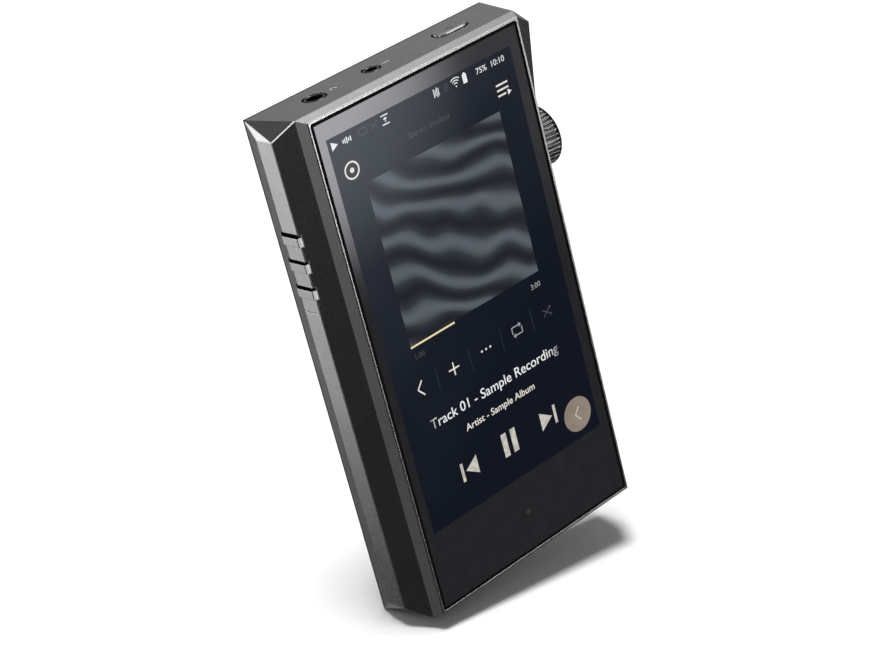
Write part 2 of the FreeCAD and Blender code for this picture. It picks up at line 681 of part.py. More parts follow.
def bushing_nut():
    across_corners = 4.0
    outline = []
    for corner in range(6):
        angle = math.radians(60 * corner)
        y = WHEEL_Y + across_corners * math.cos(angle)
        outline.append((y, WHEEL_Z + across_corners * math.sin(angle)))
    nut = prism(outline, "x", NOTCH_FLOOR + 0.02, NOTCH_FLOOR + 1.2)
    return nut.cut(rod("x", NOTCH_FLOOR - SKIN, NOTCH_FLOOR + 2, BUSHING_RADIUS + 0.02, WHEEL_Y, WHEEL_Z))


def wheel_encoder():
    """The rotary encoder inside the wall, with a clear hole for the shaft."""
    body = block(ENCODER_X, (-3.3, 3.3), (WHEEL_Z - 5.4, WHEEL_Z + 5.4))
    hole_radius = SHAFT_RADIUS + SHAFT_CLEARANCE
    hole = rod("x", ENCODER_X[0] + 0.8, ENCODER_X[1] + SKIN, hole_radius, WHEEL_Y, WHEEL_Z)
    return body.cut(hole)


# ---------------------------------------------------------------- power button
def power_button():
    """A raised pill with a flange under the wall and a stub that meets the switch."""
    flange_low = CAVITY_TOP + POWER_TRAVEL + 0.05
    flange_high = CAVITY_TOP + 1.4
    top = BODY_LENGTH + POWER_PROUD
    cap = pill(POWER_X, PORT_Y, POWER_LENGTH, POWER_WIDTH, (flange_low, top))
    rim = [edge for edge in cap.Edges if all(abs(v.Point.z - top) < 1e-6 for v in edge.Vertexes)]
    cap = cap.makeChamfer(0.3, rim)
    flange = pill(POWER_X, PORT_Y, POWER_LENGTH + 2 * POWER_FLANGE, POWER_WIDTH + 2 * POWER_FLANGE,
                  (flange_low, flange_high))
    stub_span = (CAVITY_TOP - 0.1, flange_low + 0.1)
    stub = block((POWER_X - 1, POWER_X + 1), (PORT_Y - 1, PORT_Y + 1), stub_span)
    return cap.fuse([flange, stub]).removeSplitter()


def power_switch():
    body = block((POWER_X - 3, POWER_X + 3), (BOARD_REAR + 0.02, 3.4), (106.2, POWER_SWITCH_TOP))
    half = PLUNGER / 2 + 0.1
    well_span = (108.6, POWER_SWITCH_TOP + SKIN)
    well = block((POWER_X - half, POWER_X + half), (PORT_Y - half, PORT_Y + half), well_span)
    return body.cut(well)


def power_switch_plunger():
    half = PLUNGER / 2
    z_span = (109.2, CAVITY_TOP - 0.12)
    return block((POWER_X - half, POWER_X + half), (PORT_Y - half, PORT_Y + half), z_span)


# ---------------------------------------------------------------- side keys
def side_key(span):
    """One key: a flush plate with a raised ledge across its upper end, and its stem."""
    low, high = span
    outer = -RIDGE_LEFT
    inner = outer + KEY_THICKNESS
    plate = block((outer, inner), (RIDGE_FRONT + 0.06, RIDGE_REAR - 0.06), span)
    outline = [
        (inner, KEY_LEDGE_FRONT),
        (outer + 0.15, KEY_LEDGE_FRONT),
        (-SIDE_REACH, KEY_LEDGE_FRONT + 0.5),
        (-SIDE_REACH, KEY_LEDGE_REAR - 0.9),
        (outer + 0.35, KEY_LEDGE_REAR),
        (inner, KEY_LEDGE_REAR),
    ]
    ledge = prism(outline, "z", high - KEY_LEDGE, high)
    z = key_centre(span)
    half = KEY_STEM / 2
    stem_span = (inner - 0.1, POCKET_OUTER - 0.12)
    stem = block(stem_span, (PORT_Y - half, PORT_Y + half), (z - half, z + half))
    return plate.fuse([ledge, stem]).removeSplitter()


def side_switch(span):
    """A small push switch on the side board, with a well for its plunger."""
    z = key_centre(span)
    half = SWITCH_SIZE / 2
    body = block((SWITCH_OUTER, SWITCH_INNER), (PORT_Y - half, PORT_Y + half), (z - half, z + half))
    well = SIDE_PLUNGER / 2 + 0.1
    depth = (SWITCH_OUTER - SKIN, SWITCH_OUTER + 1.0)
    return body.cut(block(depth, (PORT_Y - well, PORT_Y + well), (z - well, z + well)))


def side_plunger(span):
    z = key_centre(span)
    half = SIDE_PLUNGER / 2
    x_span = (POCKET_OUTER - 0.1, SWITCH_OUTER + 0.5)
    return block(x_span, (PORT_Y - half, PORT_Y + half), (z - half, z + half))


def side_key_board():
    return block((SWITCH_INNER + 0.02, SIDE_BOARD_INNER), (POCKET_Y[0] + 0.3, POCKET_Y[1] - 0.3),
                 (POCKET_Z[0] + 0.4, POCKET_Z[1] - 0.4))


def side_key_bracket():
    """The steel strip that holds the side board in its pocket."""
    face = -CAVITY_HALF_WIDTH + 0.02
    low, high = KEY_BRACKET_SCREWS
    strip = block((face, face + 0.3), (PORT_Y - 1.6, PORT_Y + 1.6), (low - 1.6, high + 1.6))
    pad = block((SIDE_BOARD_INNER + 0.02, face + 0.1), (PORT_Y - 1.2, PORT_Y + 1.2), (76, 91))
    holes = [rod("x", face - SKIN, face + SKIN, SCREW_HOLE_RADIUS, PORT_Y, z) for z in KEY_BRACKET_SCREWS]
    return strip.fuse(pad).removeSplitter().cut(holes)


# ---------------------------------------------------------------- jacks
def jack_collar(x, collar_radius, bore_radius):
    """The metal ring round the mouth of a jack."""
    top = BODY_LENGTH + COLLAR_PROUD
    collar = rod("z", top - COLLAR_LENGTH, top, collar_radius, x, PORT_Y)
    collar = collar.cut(rod("z", top - COLLAR_LENGTH - SKIN, top + SKIN, bore_radius, x, PORT_Y))
    return collar.makeChamfer(0.2, circles_at(collar, "z", top))


def contact_places(bottom):
    """A side of the bore and a height for each of a jack's four leaf contacts."""
    return [(side, bottom + rise) for side in (-1, 1) for rise in (4.0, 8.2)]


def jack_body(x, depth, bore_radius, bottom, collar_radius):
    """The moulded body of a jack, bored from its barrel down, with slots for contacts."""
    half = bore_radius + 1.3
    rear = BOARD_REAR + 0.02
    body = block((x - half, x + half), (rear, PORT_Y + depth), (bottom, CAVITY_TOP - 0.1))
    barrel_top = BODY_LENGTH + COLLAR_PROUD - COLLAR_LENGTH
    barrel = rod("z", CAVITY_TOP - 0.5, barrel_top, collar_radius - 0.1, x, PORT_Y)
    body = body.fuse(barrel).removeSplitter()
    cuts = [rod("z", bottom + 2.0, barrel_top + SKIN, bore_radius, x, PORT_Y)]
    for side, z in contact_places(bottom):
        near = x + side * (bore_radius + 0.2)
        far = x + side * (bore_radius + 0.6)
        y_span = (PORT_Y - 0.7, PORT_Y + depth + SKIN)
        cuts.append(block((near, far), y_span, (z - 1.6, z + 1.6)))
    return body.cut(cuts)


def jack_contacts(x, depth, bore_radius, bottom):
    """Four leaf contacts, one in each slot of the jack's body."""
    leaves = []
    for side, z in contact_places(bottom):
        near = x + side * (bore_radius + 0.3)
        far = x + side * (bore_radius + 0.5)
        y_span = (PORT_Y - 0.6, PORT_Y + depth - 0.2)
        leaves.append(block((near, far), y_span, (z - 1.4, z + 1.4)))
    return group(leaves)


# ---------------------------------------------------------------- bottom sockets
def usb_shell():
    low = USB_RECESS
    high = USB_RECESS + USB_LENGTH
    tube = pill(0, USB_Y, USB_WIDTH, USB_HEIGHT, (low, high))
    walls = 2 * USB_WALL
    inside = pill(0, USB_Y, USB_WIDTH - walls, USB_HEIGHT - walls, (low - SKIN, high - USB_WALL))
    return tube.cut(inside)


def usb_tongue():
    """The contact tongue and the moulded block it grows from."""
    top = USB_RECESS + USB_LENGTH - USB_WALL - 0.02
    width = USB_WIDTH - 2 * USB_WALL - 0.04
    height = USB_HEIGHT - 2 * USB_WALL - 0.04
    base = pill(0, USB_Y, width, height, (top - 1.4, top))
    tongue = block((-3.35, 3.35), (USB_Y - 0.35, USB_Y + 0.35), (USB_RECESS + 0.8, top - 0.5))
    return base.fuse(tongue).removeSplitter()


def card_shell():
    """The folded steel cover of the memory card slot."""
    half = CARD_SHELL_WIDTH / 2
    y_span = (CARD_Y - CARD_SHELL_HEIGHT / 2 + 0.02, CARD_Y + CARD_SHELL_HEIGHT / 2)
    outside = block((CARD_X - half, CARD_X + half), y_span, (CARD_SHELL_BOTTOM, CARD_SHELL_TOP))
    half = CARD_SLOT_WIDTH / 2
    depth = CARD_SLOT_HEIGHT / 2
    inside = block((CARD_X - half, CARD_X + half), (CARD_Y - depth, CARD_Y + depth),
                   (CARD_SHELL_BOTTOM - SKIN, CARD_SHELL_TOP - 0.2))
    return outside.cut(inside)


def card_carriage():
    """The sprung carriage at the slot's end, which a card pushes in."""
    half = CARD_SLOT_WIDTH / 2 - 0.15
    depth = CARD_SLOT_HEIGHT / 2 - 0.12
    top = CARD_SHELL_TOP - 0.2 - CARD_PUSH - 0.15
    bar = block((CARD_X - half, CARD_X + half), (CARD_Y - depth, CARD_Y + depth), (top - 0.9, top))
    arm = block((CARD_X + half - 0.9, CARD_X + half), (CARD_Y - depth, CARD_Y + depth), (top - 5.0, top))
    return bar.fuse(arm).removeSplitter()


# ---------------------------------------------------------------- boards and chips
def screw_holes(places, y_span):
    return [rod("y", min(y_span) - SKIN, max(y_span) + SKIN, SCREW_HOLE_RADIUS, x, z) for x, z in places]


def main_board():
    y_span = (BOARD_FRONT + 0.02, BOARD_REAR)
    half = MAIN_BOARD_HALF_WIDTH
    lug_line = CAVITY_TOP - LUG - 0.4
    lower = block((-half, half), y_span, (MAIN_BOARD_BOTTOM, lug_line))
    upper = block((-22.0, 22.0), y_span, (lug_line - 0.1, CAVITY_TOP - 0.3))
    board = lower.fuse(upper).removeSplitter()
    encoder_bay = block((ENCODER_X[0] - 0.3, half + SKIN), (BOARD_FRONT - SKIN, BOARD_REAR + SKIN),
                        (WHEEL_Z - 5.8, WHEEL_Z + 5.8))
    return board.cut([encoder_bay] + screw_holes(MAIN_BOARD_SCREWS, y_span))


def lower_board():
    y_span = (LOWER_BOARD_FRONT + 0.02, LOWER_BOARD_REAR)
    lug_line = CAVITY_BOTTOM + LUG + 0.4
    lower = block((-21.8, 21.8), y_span, (CAVITY_BOTTOM + 0.3, lug_line + 0.1))
    upper = block((-24.2, 24.2), y_span, (lug_line, BATTERY_BOTTOM - 1.4))
    board = lower.fuse(upper).removeSplitter()
    return board.cut(screw_holes(LOWER_BOARD_SCREWS, y_span))


def board_screws():
    """The screws of both boards, the battery strap and the side key bracket."""
    screws = [screw("y", BOARD_REAR, -1, 2.0, x, z) for x, z in MAIN_BOARD_SCREWS]
    screws += [screw("y", LOWER_BOARD_REAR, -1, 2.0, x, z) for x, z in LOWER_BOARD_SCREWS]
    strap_face = STRAP_LUG_REAR + STRAP_THICKNESS
    screws += [screw("y", strap_face, -1, 2.0, side * STRAP_SCREW_X, STRAP_Z) for side in (-1, 1)]
    bracket_face = -CAVITY_HALF_WIDTH + 0.32
    screws += [screw("x", bracket_face, -1, 2.0, PORT_Y, z) for z in KEY_BRACKET_SCREWS]
    return group(screws)


def chips(places, width, height, thickness, lift=0.0):
    """Chips of one size on the rear face of the main board."""
    front = BOARD_REAR + 0.02 + lift
    return group(centred_block(x, z, width, height, (front, front + thickness)) for x, z in places)


def shield_can(x_span, z_span, height):
    """A five-sided can of thin sheet over part of the main board."""
    front = BOARD_REAR + 0.02
    outside = block(x_span, (front, front + height), z_span)
    inner_x = (min(x_span) + SHIELD_WALL, max(x_span) - SHIELD_WALL)
    inner_z = (min(z_span) + SHIELD_WALL, max(z_span) - SHIELD_WALL)
    return outside.cut(block(inner_x, (front - SKIN, front + height - SHIELD_WALL), inner_z))


def board_connectors():
    """The two flat connectors on the front face of the main board."""
    y_span = (-3.38, BOARD_FRONT)
    display = block((DISPLAY_FLEX_X[0] + 0.5, DISPLAY_FLEX_X[1] - 0.5), y_span, (68.4, 72.4))
    link = block((-4.5, 4.5), y_span, (65.0, 69.0))
    return group([display, link])


def link_flex():
    """The ribbon between the two boards, which passes in front of the battery."""
    path = [(-1.4, 9.0), (-1.4, 17.6), (-3.46, 18.6), (-3.46, 69.2)]
    return ribbon(path, (-5.0, 5.0))


def antenna_flex():
    y_span = (REAR_PLATE_SEAT + TAPE - 0.12, REAR_PLATE_SEAT + TAPE - 0.02)
    strip = block((-20.0, -4.0), y_span, (95.0, 107.0))
    window = block((-18.5, -8.0), y_span, (97.0, 104.5))
    return strip.cut(window)


# ---------------------------------------------------------------- battery
def battery_cell():
    half = BATTERY_HALF_WIDTH
    cell = block((-half, half), (BATTERY_FRONT, BATTERY_REAR), (BATTERY_BOTTOM, BATTERY_TOP))
    upright = [edge for edge in cell.Edges if is_along(edge, "z")]
    return cell.makeFillet(1.6, upright)


def battery_strap():
    reach = CAVITY_HALF_WIDTH - 0.15
    y_span = (STRAP_LUG_REAR, STRAP_LUG_REAR + STRAP_THICKNESS)
    strap = block((-reach, reach), y_span, (STRAP_Z - 2.6, STRAP_Z + 2.6))
    return strap.cut(screw_holes([(side * STRAP_SCREW_X, STRAP_Z) for side in (-1, 1)], y_span))


def battery_lead():
    path = [(-0.75, BATTERY_TOP + 0.02), (-0.75, 68.4)]
    return ribbon(path, (-1.5, 3.5))


def battery_connector():
    return centred_block(1.0, 67.0, 6.0, 3.0, (BOARD_REAR + 0.02, -0.83))


# ---------------------------------------------------------------- the whole player
def parts():
    spans = dict(zip(KEY_NAMES, key_spans()))
    big_jack = (BIG_JACK_X, BIG_JACK_DEPTH, BIG_JACK_RADIUS, BIG_JACK_BOTTOM)
    small_jack = (SMALL_JACK_X, SMALL_JACK_DEPTH, SMALL_JACK_RADIUS, SMALL_JACK_BOTTOM)
    nodes = {
        "housing": housing(),
        "front_glass": front_glass(),
        "front_glass_gasket": front_glass_gasket(),
        "rear_plate": rear_plate(),
        "rear_plate_tape": rear_plate_tape(),
        "display_panel": display_panel(),
        "backlight_unit": backlight_unit(),
        "display_flex": display_flex(),
        "midframe": midframe(),
        "midframe_screws": midframe_screws(),
        "home_light_guide": home_light_guide(),
        "home_led": home_led(),
        "home_key_flex": home_key_flex(),
        "volume_knob": volume_knob(),
        "knob_end_cap": knob_end_cap(),
        "wheel_shaft": wheel_shaft(),
        "wheel_bushing": wheel_bushing(),
        "bushing_nut": bushing_nut(),
        "wheel_encoder": wheel_encoder(),
        "power_button": power_button(),
        "power_switch": power_switch(),
        "power_switch_plunger": power_switch_plunger(),
        "side_switches": group(side_switch(span) for span in spans.values()),
        "side_key_board": side_key_board(),
        "side_key_bracket": side_key_bracket(),
        "jack_3p5_collar": jack_collar(BIG_JACK_X, BIG_COLLAR_RADIUS, BIG_JACK_RADIUS),
        "jack_3p5_body": jack_body(*big_jack, BIG_COLLAR_RADIUS),
        "jack_3p5_contacts": jack_contacts(*big_jack),
        "jack_2p5_collar": jack_collar(SMALL_JACK_X, SMALL_COLLAR_RADIUS, SMALL_JACK_RADIUS),
        "jack_2p5_body": jack_body(*small_jack, SMALL_COLLAR_RADIUS),
        "jack_2p5_contacts": jack_contacts(*small_jack),
        "usb_shell": usb_shell(),
        "usb_tongue": usb_tongue(),
        "card_shell": card_shell(),
        "card_carriage": card_carriage(),
        "main_board": main_board(),
        "lower_board": lower_board(),
        "board_screws": board_screws(),
        "board_connectors": board_connectors(),
        "link_flex": link_flex(),
        "antenna_flex": antenna_flex(),
        "processor": chips([(10.7, 80.0)], 12.0, 12.0, 1.0),
        "memory_chips": chips([(7.0, 92.0), (14.6, 92.0)], 6.4, 8.0, 0.9),
        "digital_shield": shield_can((2.0, 19.4), (70.4, 97.4), 2.2),
        "dac_chips": chips([(-19.0, 86.5), (-8.0, 86.5)], 7.0, 7.0, 0.9),
        "clock_oscillators": chips([(-13.5, 80.5), (-13.5, 92.5)], 3.2, 2.5, 1.0),
        "audio_shield": shield_can((-24.8, -1.0), (76.5, 96.8), 2.2),
        "op_amps": chips([(-13.6, 101.6), (-9.8, 101.6), (-13.6, 106.4), (-9.8, 106.4)], 3.0, 3.0, 0.9),
        "film_capacitors": chips([(-20.0, 72.0), (-15.0, 72.0), (-10.0, 72.0)], 3.2, 2.5, 2.0),
        "wireless_module": chips([(8.5, 103.4)], 10.0, 7.6, 1.8),
        "battery_cell": battery_cell(),
        "battery_strap": battery_strap(),
        "battery_lead": battery_lead(),
        "battery_connector": battery_connector(),
    }
    for name, span in spans.items():
        nodes[name + "_button"] = side_key(span)
        nodes[name + "_plunger"] = side_plunger(span)
    return nodes


def main():
    os.makedirs("parts", exist_ok=True)
    for name, shape in parts().items():
        shape.exportStep(os.path.join("parts", name + ".step"))


if __name__ == "__main__":
    main()
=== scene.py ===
import math

import bpy
from mathutils import Matrix, Vector


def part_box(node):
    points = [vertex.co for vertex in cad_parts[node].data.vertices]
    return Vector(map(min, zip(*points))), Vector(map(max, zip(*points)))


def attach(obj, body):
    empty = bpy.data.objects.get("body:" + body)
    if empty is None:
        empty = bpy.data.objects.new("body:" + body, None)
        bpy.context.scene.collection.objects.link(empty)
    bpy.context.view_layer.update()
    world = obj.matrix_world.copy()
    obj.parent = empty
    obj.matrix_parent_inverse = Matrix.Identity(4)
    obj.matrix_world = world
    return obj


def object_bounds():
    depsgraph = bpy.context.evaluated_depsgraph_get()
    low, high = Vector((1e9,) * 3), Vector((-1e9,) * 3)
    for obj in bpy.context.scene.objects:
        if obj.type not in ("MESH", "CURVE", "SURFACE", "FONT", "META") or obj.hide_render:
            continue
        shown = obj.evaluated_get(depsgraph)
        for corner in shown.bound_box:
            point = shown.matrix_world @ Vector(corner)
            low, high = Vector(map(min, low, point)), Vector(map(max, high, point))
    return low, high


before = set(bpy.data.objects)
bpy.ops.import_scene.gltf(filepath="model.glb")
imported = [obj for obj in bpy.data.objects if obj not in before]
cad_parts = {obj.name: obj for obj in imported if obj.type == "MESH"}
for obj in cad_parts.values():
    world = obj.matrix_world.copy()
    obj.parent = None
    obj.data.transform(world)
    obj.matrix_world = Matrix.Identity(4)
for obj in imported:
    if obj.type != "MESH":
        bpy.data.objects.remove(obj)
cad_low, cad_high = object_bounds()

MM = 0.001
BODY = "player"

# ---------------------------------------------------------------- places read from the frame
glass_low, glass_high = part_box("front_glass")
panel_low, panel_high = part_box("display_panel")
button_low, button_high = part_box("power_button")
big_jack_low, big_jack_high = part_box("jack_3p5_collar")
small_jack_low, small_jack_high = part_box("jack_2p5_collar")
guide_low, guide_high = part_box("home_light_guide")
_, wheel_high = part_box("volume_knob")
key_low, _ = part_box("play_button")

# The picture on the screen, inside the panel's own border
SIDE_BORDER = 0.4 * MM
FOOT_BORDER = 3.6 * MM
HEAD_BORDER = 1.2 * MM
SCREEN_LEFT = panel_low.x + SIDE_BORDER
SCREEN_RIGHT = panel_high.x - SIDE_BORDER
SCREEN_BOTTOM = panel_low.z + FOOT_BORDER
SCREEN_TOP = panel_high.z - HEAD_BORDER
SCREEN_X = (SCREEN_LEFT + SCREEN_RIGHT) / 2
LAYER = 0.005 * MM                     # step between the layers laid on the glass
TEXT_LAYER = 2.5                       # the middle of the text's thickness, in layers

# The layout of the picture, in millimetres: x from its middle and z from its foot
STATUS_ROW = 89.4
TOOL_ROW = 32.0
TRANSPORT_ROW = 9.0
ROUND_BUTTON = (20.2, 5.7)
ROUND_BUTTON_RADIUS = 4.05
SEPARATORS = (-14.3, -4.7, 4.7, 14.0)
ART_HALF = 18.9                        # half width of the cover picture
ART_SPAN = (41.8, 79.1)                # its lower and upper edge
PROGRESS_ROW = 41.45                   # the progress bar lies just under the cover picture
PROGRESS_HEIGHT = 0.42
PLAYED_SHARE = 1 / 3                   # how much of the track has played: 1:00 of 3:00
TITLE_FADE = (15.5, 20.5)              # the title starts to dim and is gone this far from the middle

# Patterns in the materials, in millimetres
BAND_PITCH = 7.5                       # from one wave band of the cover picture to the next
BAND_SWAY = 9.0                        # how far the bands wander from straight
PIXEL_PITCH = 0.16                     # the lit screen's fine grid
TWILL_PITCH = 1.2                      # the twill print under the back glass
GRAIN = 0.16                           # size of the blasted metal's grain
CREASE = 0.15                          # how far the light on a crease is rounded, and how wide its painted highlight is

# Finishes of single places
BUTTON_PROUD = 0.45 * MM               # the power button stands this far above the top face
TOP_FACE = cad_high.z - BUTTON_PROUD
POWER_MARK_RADIUS = 0.62 * MM
POWER_MARK_LINE = 0.09 * MM            # half the width of its lines
KEY_LEDGE_HIGHLIGHT = (0.42 * MM, 0.34 * MM)    # the painted highlight on a side key's ledge starts and is full this deep
KNOB_BEVEL = (1.00 * MM, 0.80 * MM)    # the knob's painted shade turns black and is black this far from its outer end
REAR_LINE = 0.90 * MM                  # blasted metal's sides get a painted shade this close to the back
GLASS_EDGE_SHADE = 0.28 * MM                # width of the painted shade, a black band, along the cover glass's edge
GLASS_IOR = 1.5
SCREEN_SHINE = 0.1                     # specular level of the lit screen, far below the bezel's 0.5

# Floor, light and camera
LEAN = Vector((0.175, -0.156, 0.972))  # the floor's upward direction: the player leans on one corner
FLOOR_HALF = 4.0
SUN_TOWARD = Vector((0.04, -0.11, 1.0))
SUN_ANGLE = 24
SUN_STRENGTH = 3.7
SENSOR_WIDTH = 36.0
FOCAL_LENGTH = 97.72
CAMERA_PLACE = Vector((-0.2770, -0.3751, 0.2570))
CAMERA_RIGHT = Vector((0.724, -0.648, -0.235))
CAMERA_AHEAD = Vector((0.538, 0.745, -0.395))


# ---------------------------------------------------------------- node helpers
def new_material(name):
    """A new material, its node tree and its principled shader."""
    made = bpy.data.materials.new(name)
    made.use_nodes = True
    tree = made.node_tree
    return made, tree, tree.nodes["Principled BSDF"]


def add_node(tree, kind, values=None, **settings):
    """A new node with its own settings and its inputs' values."""
    made = tree.nodes.new(kind)
    for key, value in settings.items():
        setattr(made, key, value)
    for key, value in (values or {}).items():
        made.inputs[key].default_value = value
    return made


def math_node(tree, operation, first, second=None, clamp=False):
    """A math node; each operand is a number or another node's output."""
    made = add_node(tree, "ShaderNodeMath", operation=operation, use_clamp=clamp)
    for index, operand in enumerate((first, second)):
        if operand is None:
            continue
        if isinstance(operand, (int, float)):
            made.inputs[index].default_value = operand
        else:
            tree.links.new(operand, made.inputs[index])
    return made.outputs[0]


def weighted(tree, first, share, second):
    """The first value times its share, plus the second times the rest."""
    part = math_node(tree, "MULTIPLY", first, share)
    rest = math_node(tree, "MULTIPLY", second, 1 - share)
    return math_node(tree, "ADD", part, rest)


def near(tree, value, target, reach):
    """1 where a value is within reach of its target."""
    made = math_node(tree, "COMPARE", value, target)
    made.node.inputs[2].default_value = reach
    return made


def coordinates(tree):
    """The surface point in metres, which turns and slides with its own body."""
    return add_node(tree, "ShaderNodeTexCoord").outputs["Object"]


def axes(tree):
    """The surface point's x, y and z, each as an output."""
    split = add_node(tree, "ShaderNodeSeparateXYZ")
    tree.links.new(coordinates(tree), split.inputs[0])
    return split.outputs


def stretched(tree, scale):
    """The surface point with each axis scaled, for grain that runs one way."""
    mapping = add_node(tree, "ShaderNodeMapping", {"Scale": scale})
    tree.links.new(coordinates(tree), mapping.inputs["Vector"])
    return mapping.outputs["Vector"]


def noise(tree, size, detail=2.0, roughness=0.5, vector=None):
    """Noise whose features are about size millimetres."""
    values = {"Scale": 1.0 / (size * MM), "Detail": detail, "Roughness": roughness}
    made = add_node(tree, "ShaderNodeTexNoise", values)
    tree.links.new(coordinates(tree) if vector is None else vector, made.inputs["Vector"])
    return made.outputs["Fac"]


def remap(tree, value, low, high, to_low=0.0, to_high=1.0, smooth=False):
    """A value's range from low to high brought to another range, and held at its ends."""
    values = {1: low, 2: high, 3: to_low, 4: to_high}
    made = add_node(tree, "ShaderNodeMapRange", values)
    made.interpolation_type = "SMOOTHSTEP" if smooth else "LINEAR"
    tree.links.new(value, made.inputs[0])
    return made.outputs[0]


def blend(tree, factor, first, second, mode="MIX"):
    """Mix two colours; each is a colour or another node's output."""
    made = add_node(tree, "ShaderNodeMix", data_type="RGBA", blend_type=mode)
    if isinstance(factor, (int, float)):
        made.inputs[0].default_value = factor
    else:
        tree.links.new(factor, made.inputs[0])
    for index, colour in ((6, first), (7, second)):
        if isinstance(colour, tuple):
            made.inputs[index].default_value = (*colour, 1.0)
        else:
            tree.links.new(colour, made.inputs[index])
    return made.outputs[2]


def ramp(tree, factor, stops):
    """A colour ramp from (position, colour) stops."""
    made = add_node(tree, "ShaderNodeValToRGB")
    elements = made.color_ramp.elements
    while len(elements) < len(stops):
        elements.new(0.5)
    for element, (position, colour) in zip(elements, stops):
        element.position = position
        element.color = (*colour, 1.0)
    tree.links.new(factor, made.inputs[0])
    return made.outputs["Color"]


def add_bump(tree, shader, height, depth, normal=None):
    """Bump of about depth millimetres, over the given normal or the true one."""
    made = add_node(tree, "ShaderNodeBump", {"Distance": depth * MM})
    tree.links.new(height, made.inputs["Height"])
    if normal is not None:
        tree.links.new(normal, made.inputs["Normal"])
    tree.links.new(made.outputs["Normal"], shader.inputs["Normal"])


def crevices(tree, reach):
    """1 in the open, falling to 0 deep in slits and grooves narrower than reach millimetres; used as painted
    shade there.
    """
    made = add_node(tree, "ShaderNodeAmbientOcclusion", {"Distance": reach * MM}, samples=6)
    return remap(tree, made.outputs["AO"], 0.35, 0.80)


def overlay(made, mask, colour):
    """Put a colour over a finished material where the mask is 1."""
    tree = made.node_tree
    base = tree.nodes["Principled BSDF"].inputs["Base Color"]
    tree.links.new(blend(tree, mask, base.links[0].from_socket, colour), base)


def grey(value):
    """A colour without hue."""
    return (value, value, value)


# ---------------------------------------------------------------- metals
def blasted_metal(name, dark, light, roughness, depth=0.006, edge_light=None, crevice=0.7, crease=CREASE):
    """Bead-blasted, anodised metal: fine grain, slow tone changes, painted shade in crevices; with an edge
    light, its creases get a painted highlight and its sides a painted shade along the rear edge."""
    made, tree, shader = new_material(name)
    fine = noise(tree, GRAIN, 3.0, 0.65)
    slow = noise(tree, 9.0, 3.0, 0.55)
    colour = blend(tree, remap(tree, weighted(tree, fine, 0.7, slow), 0.3, 0.7), dark, light)
    rough = remap(tree, noise(tree, 0.5, 4.0, 0.6), 0.3, 0.7, roughness - 0.04, roughness + 0.05)
    rounded = None
    if edge_light is not None:
        rounded = add_node(tree, "ShaderNodeBevel", {"Radius": crease * MM}, samples=6).outputs[0]
        # painted highlight: the creases are lightened toward the edge light's colour
        painted_crease_highlight = crease_mask(tree, rounded)
        colour = blend(tree, painted_crease_highlight, colour, edge_light)
        # painted shade: the sides turn near black along the rear edge
        colour = blend(tree, rear_shade_mask(tree), colour, grey(0.02))
        rough = math_node(tree, "SUBTRACT", rough, math_node(tree, "MULTIPLY", painted_crease_highlight, 0.06))
    # painted shade: crevices are darkened to near black
    colour = blend(tree, crevices(tree, crevice), grey(0.004), colour)
    tree.links.new(colour, shader.inputs["Base Color"])
    tree.links.new(rough, shader.inputs["Roughness"])
    shader.inputs["Metallic"].default_value = 1.0
    add_bump(tree, shader, fine, depth, rounded)
    return made


def rear_shade_mask(tree):
    """Where the painted shade along the rear edge goes: 1 close to the back, on every surface but the back
    itself.
    """
    rear_line = remap(tree, axes(tree)[1], cad_high.y - REAR_LINE, cad_high.y - 0.6 * REAR_LINE)
    facing = add_node(tree, "ShaderNodeSeparateXYZ")
    tree.links.new(add_node(tree, "ShaderNodeNewGeometry").outputs["Normal"], facing.inputs[0])
    on_side = math_node(tree, "LESS_THAN", facing.outputs["Y"], 0.9)
    return math_node(tree, "MULTIPLY", rear_line, on_side)


def crease_mask(tree, rounded):
    """Where the painted crease highlight goes: 1 on the outer creases and 0 on flats, from a rounded normal
    beside the true one.
    """
    true_normal = add_node(tree, "ShaderNodeNewGeometry").outputs["Normal"]
    facing = add_node(tree, "ShaderNodeVectorMath", operation="DOT_PRODUCT")
    tree.links.new(rounded, facing.inputs[0])
    tree.links.new(true_normal, facing.inputs[1])
    return remap(tree, facing.outputs["Value"], 0.998, 0.955)


def side_key_metal():
    """The housing's metal, with a painted highlight on the small ledge each key carries at its front."""
    # grey(0.45) is the painted crease highlight on the keys
    made = blasted_metal("key_metal", grey(0.28), grey(0.40), 0.23, 0.004, grey(0.45), 0.7, 0.12)
    tree = made.node_tree
    shader = tree.nodes["Principled BSDF"]
    start, full = KEY_LEDGE_HIGHLIGHT
    ledge = remap(tree, axes(tree)[1], key_low.y + start, key_low.y + full)
    # painted highlight: the ledge is painted light grey and made less metallic, so it looks lit
    overlay(made, ledge, grey(0.80))
    metal = math_node(tree, "SUBTRACT", 1.0, math_node(tree, "MULTIPLY", ledge, 0.75))
    tree.links.new(metal, shader.inputs["Metallic"])
    return made


def knob_metal_material():
    """Dark metal with painted highlights on its flute crests, and painted shade, black, on the outer bevel.
    """
    # grey(0.95) is the painted highlight on the knob's flute crests
    made = blasted_metal("knob_metal", grey(0.10), grey(0.15), 0.22, 0.003, grey(0.95), 0.9, 0.10)
    tree = made.node_tree
    start, full = KNOB_BEVEL
    bevel = remap(tree, axes(tree)[0], wheel_high.x - start, wheel_high.x - full)
    # painted shade: the outer bevel is painted black
    overlay(made, bevel, grey(0.012))
    return made


